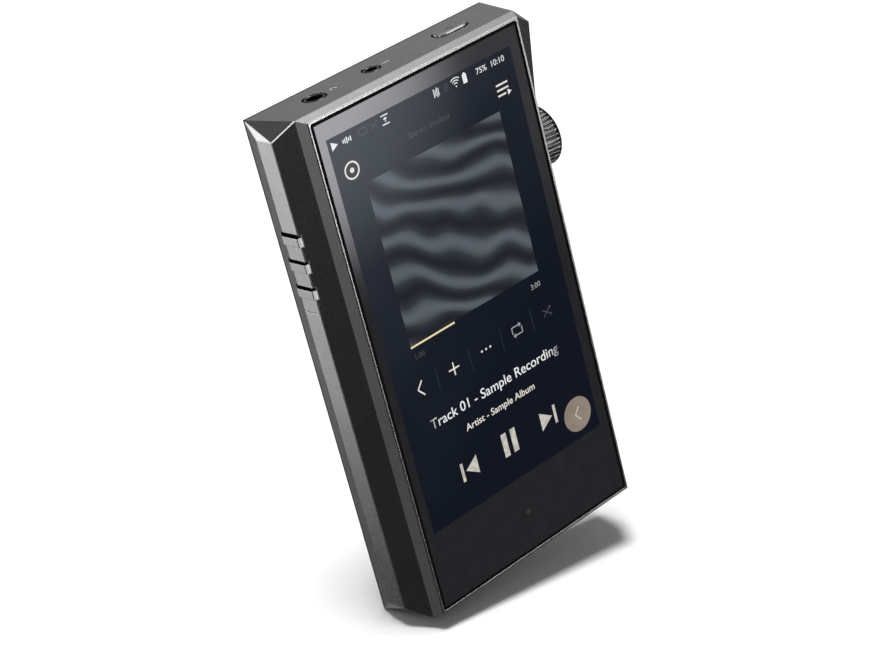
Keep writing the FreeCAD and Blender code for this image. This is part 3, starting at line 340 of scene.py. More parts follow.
def turned_metal(name, dark, light, roughness, axis):
    """Metal with fine turning lines round one axis, and painted shade in its crevices."""
    made, tree, shader = new_material(name)
    scale = [0.15, 0.15, 0.15]
    scale["xyz".index(axis)] = 1.0
    lines = noise(tree, 0.05, 2.0, 0.5, stretched(tree, scale))
    spots = noise(tree, 1.4, 3.0)
    colour = blend(tree, remap(tree, spots, 0.3, 0.7), dark, light)
    # painted shade: crevices are darkened to near black
    colour = blend(tree, crevices(tree, 0.5), grey(0.004), colour)
    tree.links.new(colour, shader.inputs["Base Color"])
    rough = remap(tree, lines, 0.3, 0.7, roughness - 0.06, roughness + 0.06)
    tree.links.new(rough, shader.inputs["Roughness"])
    shader.inputs["Metallic"].default_value = 1.0
    add_bump(tree, shader, lines, 0.003)
    return made


def power_button_metal():
    """The housing's metal with a small dark power mark on the button's top."""
    # grey(0.95) is the painted crease highlight on the button; 1.1 is the reach of its painted crevice shade
    made = blasted_metal("power_button_metal", grey(0.30), grey(0.37), 0.28, 0.003, grey(0.95), 1.1, 0.22)
    tree = made.node_tree
    x, y, z = axes(tree)[:3]
    centre = (button_low + button_high) / 2
    dx = math_node(tree, "SUBTRACT", x, centre.x)
    dy = math_node(tree, "SUBTRACT", y, centre.y)
    across = math_node(tree, "MULTIPLY", dx, dx)
    along = math_node(tree, "MULTIPLY", dy, dy)
    reach = math_node(tree, "SQRT", math_node(tree, "ADD", across, along))
    ring = near(tree, reach, POWER_MARK_RADIUS, POWER_MARK_LINE)
    opening = near(tree, dx, 0.0, 0.25 * MM)
    upper = math_node(tree, "GREATER_THAN", dy, 0.0)
    gap = math_node(tree, "MULTIPLY", opening, upper)
    open_ring = math_node(tree, "MULTIPLY", ring, math_node(tree, "SUBTRACT", 1.0, gap))
    stem_side = near(tree, dx, 0.0, POWER_MARK_LINE)
    stem_up = near(tree, dy, 0.55 * MM, 0.35 * MM)
    stem = math_node(tree, "MULTIPLY", stem_side, stem_up)
    mark = math_node(tree, "MAXIMUM", open_ring, stem)
    on_top = math_node(tree, "GREATER_THAN", z, button_high.z - 0.02 * MM)
    overlay(made, math_node(tree, "MULTIPLY", mark, on_top), grey(0.03))
    return made


# ---------------------------------------------------------------- glass and screen
def pixel_rows(tree, x, z, amount):
    """The screen's fine rows and columns of pixels, as a factor just under 1."""
    turn = 2 * math.pi / (PIXEL_PITCH * MM)
    rows = math_node(tree, "SINE", math_node(tree, "MULTIPLY", z, turn))
    columns = math_node(tree, "SINE", math_node(tree, "MULTIPLY", x, turn))
    grid = math_node(tree, "MULTIPLY", rows, columns)
    return remap(tree, grid, -1.0, 1.0, 1.0 - amount, 1.0)


def smudges(tree):
    """The faint uneven polish of handled glass, as roughness."""
    return remap(tree, noise(tree, 14.0, 4.0, 0.6), 0.35, 0.75, 0.035, 0.075)


def cover_glass_material():
    """Clear cover glass over its black print, with a painted shade along its edge."""
    made, tree, shader = new_material("cover_glass")
    mottle = noise(tree, 3.0, 2.0)
    base = blend(tree, mottle, (0.014, 0.0138, 0.0165), (0.021, 0.0205, 0.0240))
    x, _, z = axes(tree)[:3]
    middle = (glass_low + glass_high) / 2
    beside = math_node(tree, "ABSOLUTE", math_node(tree, "SUBTRACT", x, middle.x))
    above = math_node(tree, "ABSOLUTE", math_node(tree, "SUBTRACT", z, middle.z))
    side_edge = math_node(tree, "GREATER_THAN", beside, glass_high.x - middle.x - GLASS_EDGE_SHADE)
    end_edge = math_node(tree, "GREATER_THAN", above, glass_high.z - middle.z - GLASS_EDGE_SHADE)
    edge = math_node(tree, "MAXIMUM", side_edge, end_edge)
    # painted shade: a black, rough band along the glass's edge stands for the shade in the gap round it
    base = blend(tree, edge, base, grey(0.001))
    tree.links.new(base, shader.inputs["Base Color"])
    rough = math_node(tree, "ADD", smudges(tree), math_node(tree, "MULTIPLY", edge, 0.85))
    tree.links.new(rough, shader.inputs["Roughness"])
    shader.inputs["IOR"].default_value = GLASS_IOR
    shader.inputs["Specular Tint"].default_value = (0.96, 0.94, 1.0, 1.0)
    return made


def lit_surface(tree, shader, colour, amount):
    """Give a screen surface its own light, broken by the fine pixel grid, under dim glass."""
    x, _, z = axes(tree)[:3]
    lit = add_node(tree, "ShaderNodeVectorMath", operation="SCALE")
    tree.links.new(colour, lit.inputs[0])
    tree.links.new(pixel_rows(tree, x, z, amount), lit.inputs["Scale"])
    tree.links.new(lit.outputs[0], shader.inputs["Emission Color"])
    shader.inputs["Emission Strength"].default_value = 1.0
    shader.inputs["Base Color"].default_value = (0.002, 0.002, 0.003, 1.0)
    tree.links.new(smudges(tree), shader.inputs["Roughness"])
    shader.inputs["IOR"].default_value = GLASS_IOR
    shader.inputs["Specular IOR Level"].default_value = SCREEN_SHINE
    shader.inputs["Specular Tint"].default_value = (0.80, 0.90, 1.0, 1.0)


def screen_background_material():
    """The lit screen's night-blue background; a painted sheen makes it a little lighter toward its head and
    its left side.
    """
    made, tree, shader = new_material("screen_background")
    x, _, z = axes(tree)[:3]
    # painted sheen: the screen's own light grows toward its head and its left side
    height = remap(tree, z, SCREEN_BOTTOM, SCREEN_TOP)
    mottle = remap(tree, noise(tree, 22.0, 3.0, 0.5), 0.3, 0.7, -0.12, 0.12)
    side = remap(tree, x, SCREEN_LEFT, SCREEN_RIGHT, 0.30, -0.22)
    tone = math_node(tree, "ADD", math_node(tree, "ADD", height, mottle), side)
    night = ramp(tree, tone, [
        (0.0, (0.0042, 0.0060, 0.0125)),
        (0.35, (0.0040, 0.0066, 0.0125)),
        (0.7, (0.0085, 0.0118, 0.0195)),
        (1.0, (0.0165, 0.0200, 0.0290)),
    ])
    lit_surface(tree, shader, night, 0.10)
    return made


def rear_glass_material():
    """Smoked back glass over a fine twill print."""
    made, tree, shader = new_material("rear_glass")
    x, _, z = axes(tree)[:3]
    turn = 2 * math.pi / (TWILL_PITCH * MM)
    rising = math_node(tree, "SINE", math_node(tree, "MULTIPLY", math_node(tree, "ADD", x, z), turn))
    falling = math_node(tree, "SINE", math_node(tree, "MULTIPLY", math_node(tree, "SUBTRACT", x, z), turn))
    twill = math_node(tree, "MULTIPLY", rising, falling)
    tone = remap(tree, twill, -0.4, 0.4)
    uneven = remap(tree, noise(tree, 18.0, 3.0), 0.3, 0.7, 0.0, 0.5)
    colour = blend(tree, tone, (0.010, 0.010, 0.012), (0.020, 0.020, 0.023))
    colour = blend(tree, uneven, colour, (0.013, 0.013, 0.016))
    tree.links.new(colour, shader.inputs["Base Color"])
    smudge = remap(tree, noise(tree, 12.0, 4.0, 0.6), 0.35, 0.75, 0.05, 0.10)
    tree.links.new(smudge, shader.inputs["Roughness"])
    shader.inputs["IOR"].default_value = GLASS_IOR
    return made


def lit_material(name, dark, light, size=1.2, fade=None):
    """A lit mark on the screen, slightly uneven; fade is where it starts and ends to dim, from the middle."""
    made, tree, shader = new_material(name)
    colour = blend(tree, remap(tree, noise(tree, size, 2.0), 0.35, 0.65), dark, light)
    if fade is not None:
        x = axes(tree)[0]
        distance = math_node(tree, "ABSOLUTE", math_node(tree, "SUBTRACT", x, SCREEN_X))
        start, end = fade
        visible = remap(tree, distance, end * MM, start * MM, 0.03, 1.0, smooth=True)
        colour = blend(tree, visible, (0.004, 0.006, 0.012), colour)
    lit_surface(tree, shader, colour, 0.12)
    return made


def cover_picture_material():
    """A plain abstract cover: soft slanted wave bands, dark slate to grey."""
    made, tree, shader = new_material("cover_picture")
    x, _, z = axes(tree)[:3]
    slanted = math_node(tree, "ADD", math_node(tree, "MULTIPLY", x, 0.45), z)
    sway = remap(tree, noise(tree, 20.0, 1.0), 0.0, 1.0, -BAND_SWAY * MM, BAND_SWAY * MM)
    place = math_node(tree, "ADD", slanted, sway)
    turn = 2 * math.pi / (BAND_PITCH * MM)
    wave = math_node(tree, "SINE", math_node(tree, "MULTIPLY", place, turn))
    tone = ramp(tree, remap(tree, wave, -1.0, 1.0), [
        (0.0, (0.014, 0.017, 0.023)),
        (0.5, (0.034, 0.040, 0.050)),
        (1.0, (0.105, 0.118, 0.140)),
    ])
    lit_surface(tree, shader, tone, 0.10)
    return made


# ---------------------------------------------------------------- plain inner materials
def moulded(name, dark, light, roughness, grain=0.25):
    """Moulded plastic, tape or board: slight mottling with a fine surface grain."""
    made, tree, shader = new_material(name)
    fine = noise(tree, grain, 3.0, 0.6)
    slow = noise(tree, 4.0, 3.0)
    colour = blend(tree, remap(tree, weighted(tree, fine, 0.5, slow), 0.3, 0.7), dark, light)
    tree.links.new(colour, shader.inputs["Base Color"])
    rough = remap(tree, fine, 0.3, 0.7, roughness - 0.06, roughness + 0.06)
    tree.links.new(rough, shader.inputs["Roughness"])
    add_bump(tree, shader, fine, 0.004)
    return made


def plated(name, dark, light, roughness):
    """Rolled or plated sheet metal with faint rolling lines."""
    made, tree, shader = new_material(name)
    lines = noise(tree, 0.12, 3.0, 0.6, stretched(tree, (1.0, 1.0, 0.06)))
    colour = blend(tree, remap(tree, noise(tree, 2.0, 3.0), 0.3, 0.7), dark, light)
    tree.links.new(colour, shader.inputs["Base Color"])
    rough = remap(tree, lines, 0.3, 0.7, roughness - 0.06, roughness + 0.08)
    tree.links.new(rough, shader.inputs["Roughness"])
    shader.inputs["Metallic"].default_value = 1.0
    add_bump(tree, shader, lines, 0.002)
    return made


# ---------------------------------------------------------------- thin marks
def on_glass(x, z, layer):
    """A point of the screen's picture: x from its middle and z from its foot, in millimetres."""
    return Vector((SCREEN_X + x * MM, glass_low.y - layer * LAYER, SCREEN_BOTTOM + z * MM))


def on_top(x, y, layer):
    """A point of the top face, in millimetres from the frame's origin."""
    return Vector((x * MM, y * MM, TOP_FACE + layer * LAYER))


def slab(name, outlines, place, layer, material):
    """Thin marks: each outline becomes a slab one layer thick, and all of them one piece."""
    vertices = []
    faces = []
    for outline in outlines:
        start = len(vertices)
        count = len(outline)
        vertices += [place(a, b, layer + 1) for a, b in outline]
        vertices += [place(a, b, layer) for a, b in outline]
        faces.append(tuple(range(start, start + count)))
        faces.append(tuple(range(start + 2 * count - 1, start + count - 1, -1)))
        for index in range(count):
            after = (index + 1) % count
            faces.append((start + index, start + count + index, start + count + after, start + after))
    mesh = bpy.data.meshes.new(name)
    mesh.from_pydata(vertices, [], faces)
    return add_piece(name, mesh, material)


def add_piece(name, mesh, material):
    """A visible piece that moves with the player's body."""
    piece = bpy.data.objects.new(name, mesh)
    bpy.context.scene.collection.objects.link(piece)
    mesh.materials.append(material)
    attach(piece, BODY)
    return piece


def bar(x, z, width, height, turn=0.0):
    """A rectangle about its middle, turned by so many degrees."""
    angle = math.radians(turn)
    corners = ((-width, -height), (width, -height), (width, height), (-width, height))
    outline = []
    for a, b in corners:
        across = (a * math.cos(angle) - b * math.sin(angle)) / 2
        up = (a * math.sin(angle) + b * math.cos(angle)) / 2
        outline.append((x + across, z + up))
    return outline


def stroke(start, end, width):
    """A straight line of one width between two points."""
    length = math.dist(start, end)
    turn = math.degrees(math.atan2(end[1] - start[1], end[0] - start[0]))
    return bar((start[0] + end[0]) / 2, (start[1] + end[1]) / 2, length, width, turn)


def disc(x, z, radius, sides=48):
    """A filled circle."""
    turn = 2 * math.pi / sides
    return [(x + radius * math.cos(turn * i), z + radius * math.sin(turn * i)) for i in range(sides)]


def arc(x, z, radius, width, start=0, end=360, sides=32):
    """A ring or part of one, as short pieces; angles are in degrees from the right."""
    inner = radius - width / 2
    outer = radius + width / 2
    pieces = []
    step = math.radians(end - start) / sides
    for index in range(sides):
        first = math.radians(start) + index * step
        second = first + step
        pieces.append([
            (x + inner * math.cos(first), z + inner * math.sin(first)),
            (x + outer * math.cos(first), z + outer * math.sin(first)),
            (x + outer * math.cos(second), z + outer * math.sin(second)),
            (x + inner * math.cos(second), z + inner * math.sin(second)),
        ])
    return pieces


def triangle(x, z, width, height, direction):
    """A triangle that points right (1) or left (-1)."""
    tip = x + direction * width / 2
    back = x - direction * width / 2
    return [(back, z - height / 2), (tip, z), (back, z + height / 2)][::direction]


def chevron(x, z, width, half, line):
    """A thin angle that points left to its tip."""
    tip = (x, z)
    return [stroke((x + width, z + half), tip, line), stroke(tip, (x + width, z - half), line)]


def words(name, text, x, z, size, material, bold=0.0):
    """Plain text laid on the glass, about its middle."""
    curve = bpy.data.curves.new(name + "_outline", "FONT")
    curve.body = text
    curve.size = size
    curve.align_x = "CENTER"
    curve.align_y = "CENTER"
    curve.offset = bold
    curve.resolution_u = 6
    curve.extrude = LAYER / MM / 2
    maker = bpy.data.objects.new(name + "_outline", curve)
    bpy.context.scene.collection.objects.link(maker)
    bpy.context.view_layer.update()
    mesh = bpy.data.meshes.new_from_object(maker.evaluated_get(bpy.context.evaluated_depsgraph_get()))
    bpy.data.objects.remove(maker)
    mesh.name = name
    mesh.materials.clear()
    upright = Matrix.Rotation(math.radians(90), 4, "X")
    centre = on_glass(x, z, TEXT_LAYER)
    mesh.transform(Matrix.Translation(centre) @ upright @ Matrix.Scale(MM, 4))
    return add_piece(name, mesh, material)


def repeat_icon(x, z, size, width):
    """Two arrows that chase each other round a rectangle."""
    half = size / 2
    low = size * 0.36
    lines = [
        stroke((x - half, z + low), (x + half * 0.55, z + low), width),
        stroke((x + half, z + low * 0.5), (x + half, z - low), width),
        stroke((x + half, z - low), (x - half * 0.55, z - low), width),
        stroke((x - half, z - low * 0.5), (x - half, z + low), width),
    ]
    heads = [
        triangle(x + half * 0.72, z + low, size * 0.26, size * 0.40, 1),
        triangle(x - half * 0.72, z - low, size * 0.26, size * 0.40, -1),
    ]
    return lines + heads


def shuffle_icon(x, z, size, width):
    """Two crossing arrows."""
    half = size / 2
    rise = size * 0.32
    lines = [
        stroke((x - half, z - rise), (x + half * 0.7, z + rise), width),
        stroke((x - half, z + rise), (x + half * 0.7, z - rise), width),
    ]
    heads = [
        triangle(x + half * 0.8, z + rise, size * 0.24, size * 0.34, 1),
        triangle(x + half * 0.8, z - rise, size * 0.24, size * 0.34, 1),
    ]
    return lines + heads


def wireless_icon(x, z, size, width):
    """Three rising arcs over a dot."""
    foot = z - size * 0.42
    pieces = [disc(x, foot, width * 0.8, 16)]
    for step in (0.38, 0.68, 0.98):
        pieces += arc(x, foot, size * step, width, 50, 130, 12)
    return pieces


def status_icons():
    """The small white icons of the status line, without any maker's sign."""
    z = STATUS_ROW
    shapes = [triangle(-23.9, z, 1.7, 1.9, 1)]
    shapes += [bar(-21.7 + 0.5 * index, z - 0.1, 0.28, 0.7 + 0.35 * (index % 3)) for index in range(5)]
    shapes += [bar(-10.3, z + 0.95, 1.9, 0.26), bar(-10.3, z - 0.95, 1.9, 0.26)]
    shapes += [bar(-10.3, z, 0.26, 1.0), bar(-10.3, z + 0.2, 0.9, 0.26)]
    for index, height in enumerate((1.9, 1.3, 2.1, 1.6)):
        shapes.append(bar(3.3 + 0.42 * index, z, 0.22, height))
    shapes += wireless_icon(9.4, z, 1.9, 0.22)
    shapes += [bar(12.0, z - 0.1, 1.15, 2.0), bar(12.0, z + 1.05, 0.55, 0.3)]
    return shapes


def player_icons():
    """The larger light icons: list, ring with a dot, back, add and more."""
    shapes = []
    longest = 3.3
    for index, length in enumerate((longest, longest, 2.3)):
        shapes.append(bar(21.2 - (longest - length) / 2, 84.4 - 1.15 * index, length, 0.42))
    shapes.append(triangle(22.9, 82.1, 1.1, 1.3, 1))
    shapes += arc(-21.4, 83.0, 1.75, 0.38)
    shapes.append(disc(-21.4, 83.0, 0.55, 24))
    shapes += chevron(-19.9, TOOL_ROW, 1.5, 1.7, 0.34)
    shapes += [bar(-9.5, TOOL_ROW, 3.0, 0.34), bar(-9.5, TOOL_ROW, 0.34, 3.0)]
    shapes += [disc(1.25 * step, TOOL_ROW, 0.27, 16) for step in (-1, 0, 1)]
    return shapes


def transport_icons():
    """Previous, pause and next."""
    z = TRANSPORT_ROW
    shapes = [bar(-14.2, z, 0.75, 4.4), triangle(-11.5, z, 3.5, 4.4, -1)]
    shapes += [bar(-1.35, z + 0.05, 1.5, 5.6), bar(1.35, z + 0.05, 1.5, 5.6)]
    shapes += [bar(14.0, z, 0.75, 4.4), triangle(11.3, z, 3.5, 4.4, 1)]
    return shapes


def dim_icons():
    """The icons of functions that are switched off."""
    shapes = repeat_icon(-16.4, STATUS_ROW, 1.9, 0.2) + shuffle_icon(-13.3, STATUS_ROW, 1.9, 0.2)
    shapes += [bar(6.7, STATUS_ROW + shift, 1.2, 0.22) for shift in (-0.6, 0.0, 0.6)]
    shapes += shuffle_icon(18.7, TOOL_ROW, 2.6, 0.24)
    return shapes


# ---------------------------------------------------------------- the picture on the screen
def build_screen():
    """The lit picture: a background, the cover, the icons and the text, in thin layers."""
    white = lit_material("screen_white", grey(0.80), grey(0.90))
    cream = lit_material("screen_cream", (0.74, 0.70, 0.61), (0.86, 0.83, 0.75))
    sand = lit_material("screen_sand", (0.48, 0.45, 0.39), (0.66, 0.63, 0.56))
    soft = lit_material("screen_soft", grey(0.34), grey(0.42))
    dim = lit_material("screen_dim", (0.055, 0.060, 0.070), (0.075, 0.080, 0.095))
    line = lit_material("screen_line", (0.022, 0.028, 0.040), (0.030, 0.036, 0.050))
    amber = lit_material("screen_amber", (0.86, 0.72, 0.38), (0.95, 0.82, 0.50))
    button = lit_material("screen_button", (0.255, 0.205, 0.165), (0.31, 0.255, 0.21), 2.5)
    title = lit_material("screen_title", grey(0.82), grey(0.92), fade=TITLE_FADE)
    art_low, art_high = ART_SPAN
    width = (SCREEN_RIGHT - SCREEN_LEFT) / MM
    height = (SCREEN_TOP - SCREEN_BOTTOM) / MM
    whole = [bar(0, height / 2, width, height)]
    slab("screen_background", whole, on_glass, 0, screen_background_material())
    picture = [bar(0, (art_low + art_high) / 2, 2 * ART_HALF, art_high - art_low)]
    slab("screen_cover_picture", picture, on_glass, 1, cover_picture_material())
    slab("screen_status_icons", status_icons(), on_glass, 1, white)
    slab("screen_player_icons", player_icons(), on_glass, 1, cream)
    slab("screen_transport_icons", transport_icons(), on_glass, 1, sand)
    slab("screen_dim_icons", dim_icons(), on_glass, 1, dim)
    slab("screen_repeat_icon", repeat_icon(9.4, TOOL_ROW, 2.8, 0.26), on_glass, 1, soft)
    separators = [bar(x, TOOL_ROW, 0.16, 5.6) for x in SEPARATORS]
    slab("screen_separators", separators, on_glass, 1, line)
    played = 2 * ART_HALF * PLAYED_SHARE
    progress = [bar(played / 2 - ART_HALF, PROGRESS_ROW, played, PROGRESS_HEIGHT)]
    slab("screen_progress", progress, on_glass, 3, amber)
    button_x, button_z = ROUND_BUTTON
    slab("screen_round_button", [disc(button_x, button_z, ROUND_BUTTON_RADIUS, 72)], on_glass, 1, button)
    slab("screen_button_chevron", chevron(button_x - 0.7, button_z, 1.4, 1.6, 0.3), on_glass, 3, sand)
    words("screen_clock", "75%  10:10", 19.35, STATUS_ROW - 0.05, 1.85, white, bold=0.01)
    words("screen_format", "Stereo, lossless", 0.0, 83.7, 1.9, dim)
    words("screen_time_now", "1:00", 1.7 - ART_HALF, 39.0, 1.7, dim)
    words("screen_time_all", "3:00", ART_HALF - 1.7, 39.0, 1.7, soft)
    words("screen_title_line", "Track 01 - Sample Recording", 0, 23.0, 3.25, title, bold=0.02)
    words("screen_second_line", "Artist - Sample Album", 0, 17.9, 2.3, cream, bold=0.03)


# ---------------------------------------------------------------- printed marks
def build_printed_marks():
    """The two signs beside the headphone sockets and the home mark under the screen."""
    ink = moulded("mark_ink", grey(0.55), grey(0.66), 0.55, 0.1)
    y = (big_jack_low.y + big_jack_high.y) / 2 / MM
    x = (big_jack_low.x + big_jack_high.x) / 2 / MM + 4.9
    band = arc(x, y - 0.1, 0.62, 0.13, 0, 180, 16)
    cups = [bar(x + side * 0.62, y - 0.3, 0.28, 0.55) for side in (-1, 1)]
    slab("mark_headphones", band + cups, on_top, 0, ink)
    x = (small_jack_low.x + small_jack_high.x) / 2 / MM + 4.0
    rings = arc(x - 0.45, y, 0.34, 0.11, 0, 360, 20) + arc(x + 0.45, y, 0.34, 0.11, 0, 360, 20)
    slab("mark_balanced", rings, on_top, 0, ink)
    ring_ink = lit_material("home_mark", grey(0.034), grey(0.046), 0.4)
    x = (guide_low.x + guide_high.x) / 2 / MM - SCREEN_X / MM
    z = ((guide_low.z + guide_high.z) / 2 - SCREEN_BOTTOM) / MM
    slab("mark_home", [disc(x, z, 0.65, 32)], on_glass, 0, ring_ink)


# ---------------------------------------------------------------- finishes of the CAD nodes
def finish_nodes():
    """Give every CAD node its finish, and make sure that none is left out."""
    # grey(0.75) is the housing's painted crease highlight
    gunmetal = blasted_metal("housing_metal", grey(0.29), grey(0.41), 0.23, 0.004, grey(0.75))
    cap_metal = turned_metal("end_cap_metal", grey(0.34), grey(0.42), 0.26, "x")
    collar_metal = turned_metal("collar_metal", grey(0.10), grey(0.15), 0.24, "z")
    steel = plated("steel", (0.52, 0.52, 0.50), (0.62, 0.61, 0.59), 0.30)
    frame_metal = plated("frame_metal", (0.40, 0.41, 0.42), (0.48, 0.49, 0.50), 0.38)
    brass = plated("brass", (0.62, 0.46, 0.20), (0.72, 0.55, 0.26), 0.28)
    gold = plated("gold", (0.78, 0.58, 0.24), (0.86, 0.66, 0.30), 0.22)
    board = moulded("circuit_board", (0.006, 0.030, 0.020), (0.010, 0.045, 0.030), 0.42)
    chip = moulded("chip", grey(0.012), grey(0.022), 0.50, 0.12)
    black = moulded("black_moulding", grey(0.010), grey(0.018), 0.48, 0.15)
    plunger = moulded("plunger", grey(0.55), grey(0.64), 0.40)
    clear = moulded("clear", (0.50, 0.50, 0.48), (0.62, 0.62, 0.60), 0.20)
    tape = moulded("tape", grey(0.020), grey(0.032), 0.65)
    gasket = moulded("gasket", grey(0.0015), grey(0.0030), 0.75)
    gasket.node_tree.nodes["Principled BSDF"].inputs["Specular IOR Level"].default_value = 0.1
    display = moulded("display", (0.010, 0.010, 0.013), (0.016, 0.016, 0.020), 0.25)
    backlight = moulded("backlight", grey(0.60), grey(0.68), 0.35)
    flex = moulded("flex", (0.24, 0.11, 0.030), (0.32, 0.15, 0.045), 0.35)
    capacitor = moulded("capacitor", (0.28, 0.05, 0.03), (0.36, 0.07, 0.04), 0.40)
    module = plated("module", grey(0.50), grey(0.60), 0.32)
    battery = moulded("battery", (0.030, 0.032, 0.036), (0.050, 0.052, 0.056), 0.42)
    wire = moulded("battery_wire", (0.30, 0.02, 0.02), (0.40, 0.03, 0.03), 0.45)
    finishes = {
        gunmetal: ["housing"],
        cover_glass_material(): ["front_glass"],
        rear_glass_material(): ["rear_plate"],
        power_button_metal(): ["power_button"],
        side_key_metal(): ["previous_button", "play_button", "next_button"],
        knob_metal_material(): ["volume_knob"],
        cap_metal: ["knob_end_cap"],
        collar_metal: ["jack_3p5_collar", "jack_2p5_collar"],
        steel: ["wheel_shaft", "board_screws", "midframe_screws", "usb_shell", "card_shell",
                "battery_strap", "side_key_bracket", "digital_shield", "audio_shield"],
        frame_metal: ["midframe"],
        brass: ["wheel_bushing", "bushing_nut"],
        gold: ["jack_3p5_contacts", "jack_2p5_contacts"],
        board: ["main_board", "lower_board", "side_key_board"],
        chip: ["processor", "memory_chips", "dac_chips", "op_amps"],
        black: ["jack_3p5_body", "jack_2p5_body", "usb_tongue", "card_carriage", "side_switches",
                "power_switch", "wheel_encoder", "board_connectors", "battery_connector"],
        plunger: ["power_switch_plunger", "previous_plunger", "play_plunger", "next_plunger"],
        clear: ["home_light_guide", "home_led"],
        gasket: ["front_glass_gasket"],
        tape: ["rear_plate_tape"],
        display: ["display_panel"],
        backlight: ["backlight_unit"],
        flex: ["display_flex", "link_flex", "home_key_flex", "antenna_flex"],
        capacitor: ["film_capacitors"],
        module: ["wireless_module", "clock_oscillators"],
        battery: ["battery_cell"],
        wire: ["battery_lead"],
    }
    left = set(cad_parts)
    for material, names in finishes.items():
        for name in names:
            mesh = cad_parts[name].data
            mesh.materials.clear()
            mesh.materials.append(material)
            left.discard(name)
    assert not left, left


# ---------------------------------------------------------------- floor, light and camera
def build_floor():
    """A plain pale floor under the corner the player leans on; from below it is see-through."""
    mesh = bpy.data.meshes.new("floor")
    half = FLOOR_HALF
    corners = [(-half, -half, 0), (half, -half, 0), (half, half, 0), (-half, half, 0)]
    mesh.from_pydata(corners, [], [(0, 1, 2, 3)])
    floor = bpy.data.objects.new("floor", mesh)
    bpy.context.scene.collection.objects.link(floor)
    floor.rotation_mode = "QUATERNION"
    floor.rotation_quaternion = LEAN.to_track_quat("Z", "Y")
    up = LEAN.normalized()
    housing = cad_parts["housing"]
    lowest = min(up.dot(housing.matrix_world @ Vector(corner)) for corner in housing.bound_box)
    floor.location = up * lowest
    made, tree, shader = new_material("pale_floor")
    colour = blend(tree, noise(tree, 400.0, 2.0), grey(0.86), grey(0.88))
    tree.links.new(colour, shader.inputs["Base Color"])
    shader.inputs["Roughness"].default_value = 0.9
    shader.inputs["Specular IOR Level"].default_value = 0.0
    clear = add_node(tree, "ShaderNodeBsdfTransparent")
    from_below = add_node(tree, "ShaderNodeNewGeometry").outputs["Backfacing"]
    mixed = add_node(tree, "ShaderNodeMixShader")
    tree.links.new(from_below, mixed.inputs[0])
    tree.links.new(shader.outputs[0], mixed.inputs[1])
    tree.links.new(clear.outputs[0], mixed.inputs[2])
    tree.links.new(mixed.outputs[0], tree.nodes["Material Output"].inputs["Surface"])
    mesh.materials.append(made)
    floor.visible_glossy = False


def dome_patch(tree, direction, inner, outer, toward):
    """1 within inner degrees of a direction, fading to 0 at outer degrees."""
    aim = add_node(tree, "ShaderNodeVectorMath", operation="DOT_PRODUCT")
    tree.links.new(toward, aim.inputs[0])
    aim.inputs[1].default_value = Vector(direction).normalized()
    low, high = math.cos(math.radians(outer)), math.cos(math.radians(inner))
    return remap(tree, aim.outputs["Value"], low, high, smooth=True)


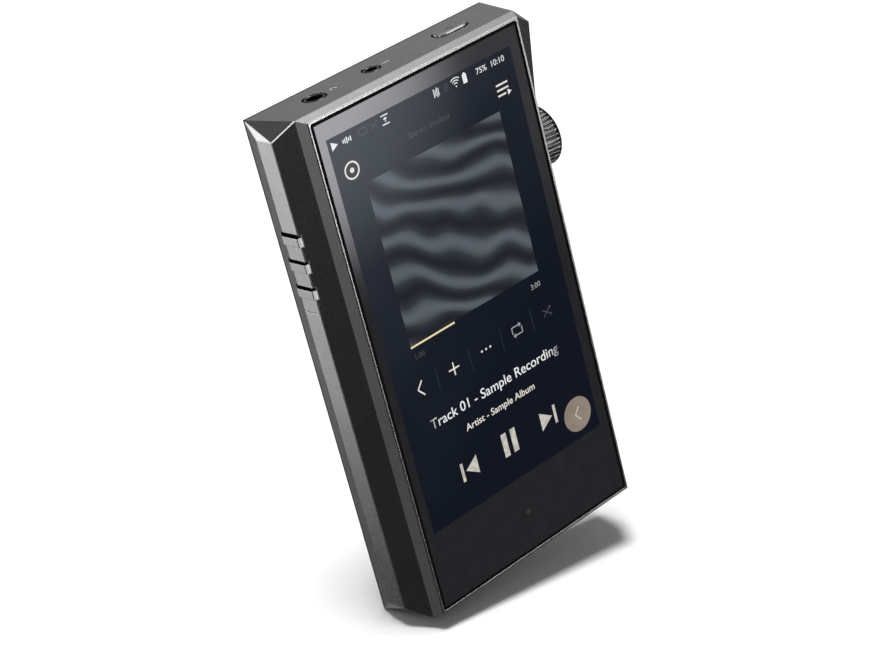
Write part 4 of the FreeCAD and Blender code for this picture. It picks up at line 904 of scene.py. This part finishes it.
def build_world():
    """A soft studio dome: bright panels and dark flags for reflections, even light for the rest.

    Each row holds a direction, the angles where its patch starts and ends to fade, and its strength.
    """
    world = bpy.data.worlds.new("studio")
    bpy.context.scene.world = world
    world.use_nodes = True
    tree = world.node_tree
    toward = add_node(tree, "ShaderNodeTexCoord").outputs["Generated"]
    split = add_node(tree, "ShaderNodeSeparateXYZ")
    tree.links.new(toward, split.inputs[0])
    light = remap(tree, split.outputs["Z"], -0.36, 0.22, 0.048, 0.35, smooth=True)
    panels = (
        ((0.44, 0.51, 0.74), 6, 18, 1.25),
        ((-0.62, 0.82, 0.16), 8, 18, 2.20),
        ((-0.50, 0.80, -0.25), 8, 13, 1.10),
        ((0.54, -0.40, 0.74), 10, 26, 1.90),
        ((0.52, -0.80, -0.29), 1.0, 5.2, 8.2),
        ((0.63, -0.74, -0.24), 3, 9, 0.45),
        ((0.84, 0.52, -0.12), 8, 24, 0.06),
        ((0.00, 0.96, -0.26), 8, 16, 0.22),
        ((-0.96, 0.04, -0.26), 6, 26, 0.14),
        ((-0.97, 0.04, -0.12), 6, 16, 0.26),
        ((0.56, -0.70, -0.47), 12, 26, 0.06),
        ((-0.74, 0.66, -0.14), 10, 20, 0.80),
        ((-0.10, 0.72, -0.69), 6, 18, 0.25),
        ((-0.93, -0.07, 0.36), 6, 18, 3.00),
        ((0.84, -0.45, -0.28), 5, 16, 1.10),
    )
    flags = (
        ((-0.50, 0.58, 0.64), 8, 26, 0.58),
        ((-0.76, -0.50, -0.46), 8, 16, 0.25),
    )
    for direction, inner, outer, strength in panels:
        patch = dome_patch(tree, direction, inner, outer, toward)
        light = math_node(tree, "ADD", light, math_node(tree, "MULTIPLY", patch, strength))
    for direction, inner, outer, strength in flags:
        patch = dome_patch(tree, direction, inner, outer, toward)
        keep = math_node(tree, "SUBTRACT", 1.0, math_node(tree, "MULTIPLY", patch, strength))
        light = math_node(tree, "MULTIPLY", light, keep)
    path = add_node(tree, "ShaderNodeLightPath")
    even = math_node(tree, "ADD", 0.20, math_node(tree, "MULTIPLY", path.outputs["Is Camera Ray"], 0.85))
    keep_even = math_node(tree, "SUBTRACT", 1.0, path.outputs["Is Glossy Ray"])
    mixed = math_node(tree, "ADD", math_node(tree, "MULTIPLY", light, path.outputs["Is Glossy Ray"]),
                      math_node(tree, "MULTIPLY", even, keep_even))
    tree.links.new(mixed, tree.nodes["Background"].inputs["Strength"])
    tree.nodes["Background"].inputs["Color"].default_value = (1.0, 1.0, 1.0, 1.0)


def add_area(name, place, target, size, power):
    """A round lamp aimed at a point and not seen in reflections."""
    lamp = bpy.data.lights.new(name, "AREA")
    lamp.shape = "DISK"
    lamp.size = size
    lamp.energy = power
    holder = bpy.data.objects.new(name, lamp)
    holder.location = place
    aim = Vector(target) - Vector(place)
    holder.rotation_mode = "QUATERNION"
    holder.rotation_quaternion = aim.to_track_quat("-Z", "Y")
    holder.visible_glossy = False
    bpy.context.scene.collection.objects.link(holder)


def build_lights():
    """One soft light from straight above the player, and a weak fill from the front."""
    lamp = bpy.data.lights.new("key_light", "SUN")
    lamp.angle = math.radians(SUN_ANGLE)
    lamp.energy = SUN_STRENGTH
    holder = bpy.data.objects.new("key_light", lamp)
    holder.rotation_mode = "QUATERNION"
    holder.rotation_quaternion = SUN_TOWARD.to_track_quat("Z", "Y")
    holder.visible_glossy = False
    bpy.context.scene.collection.objects.link(holder)
    add_area("fill_light", (-0.60, -0.80, 0.60), (0.0, 0.0, 0.05), 0.60, 0.8)


def build_camera():
    """A long lens in front of the player, above it and to its left."""
    lens = bpy.data.cameras.new("camera")
    lens.sensor_width = SENSOR_WIDTH
    lens.lens = FOCAL_LENGTH
    lens.clip_start = 0.01
    lens.clip_end = 20.0
    camera = bpy.data.objects.new("camera", lens)
    ahead = CAMERA_AHEAD.normalized()
    up = CAMERA_RIGHT.normalized().cross(ahead).normalized()
    right = ahead.cross(up)
    basis = Matrix((right, up, -ahead)).transposed()
    camera.matrix_world = Matrix.Translation(CAMERA_PLACE) @ basis.to_4x4()
    bpy.context.scene.collection.objects.link(camera)
    bpy.context.scene.camera = camera


finish_nodes()
build_screen()
build_printed_marks()
build_floor()
build_world()
build_lights()
build_camera()
bpy.context.scene.view_settings.view_transform = "Standard"

bpy.context.view_layer.update()
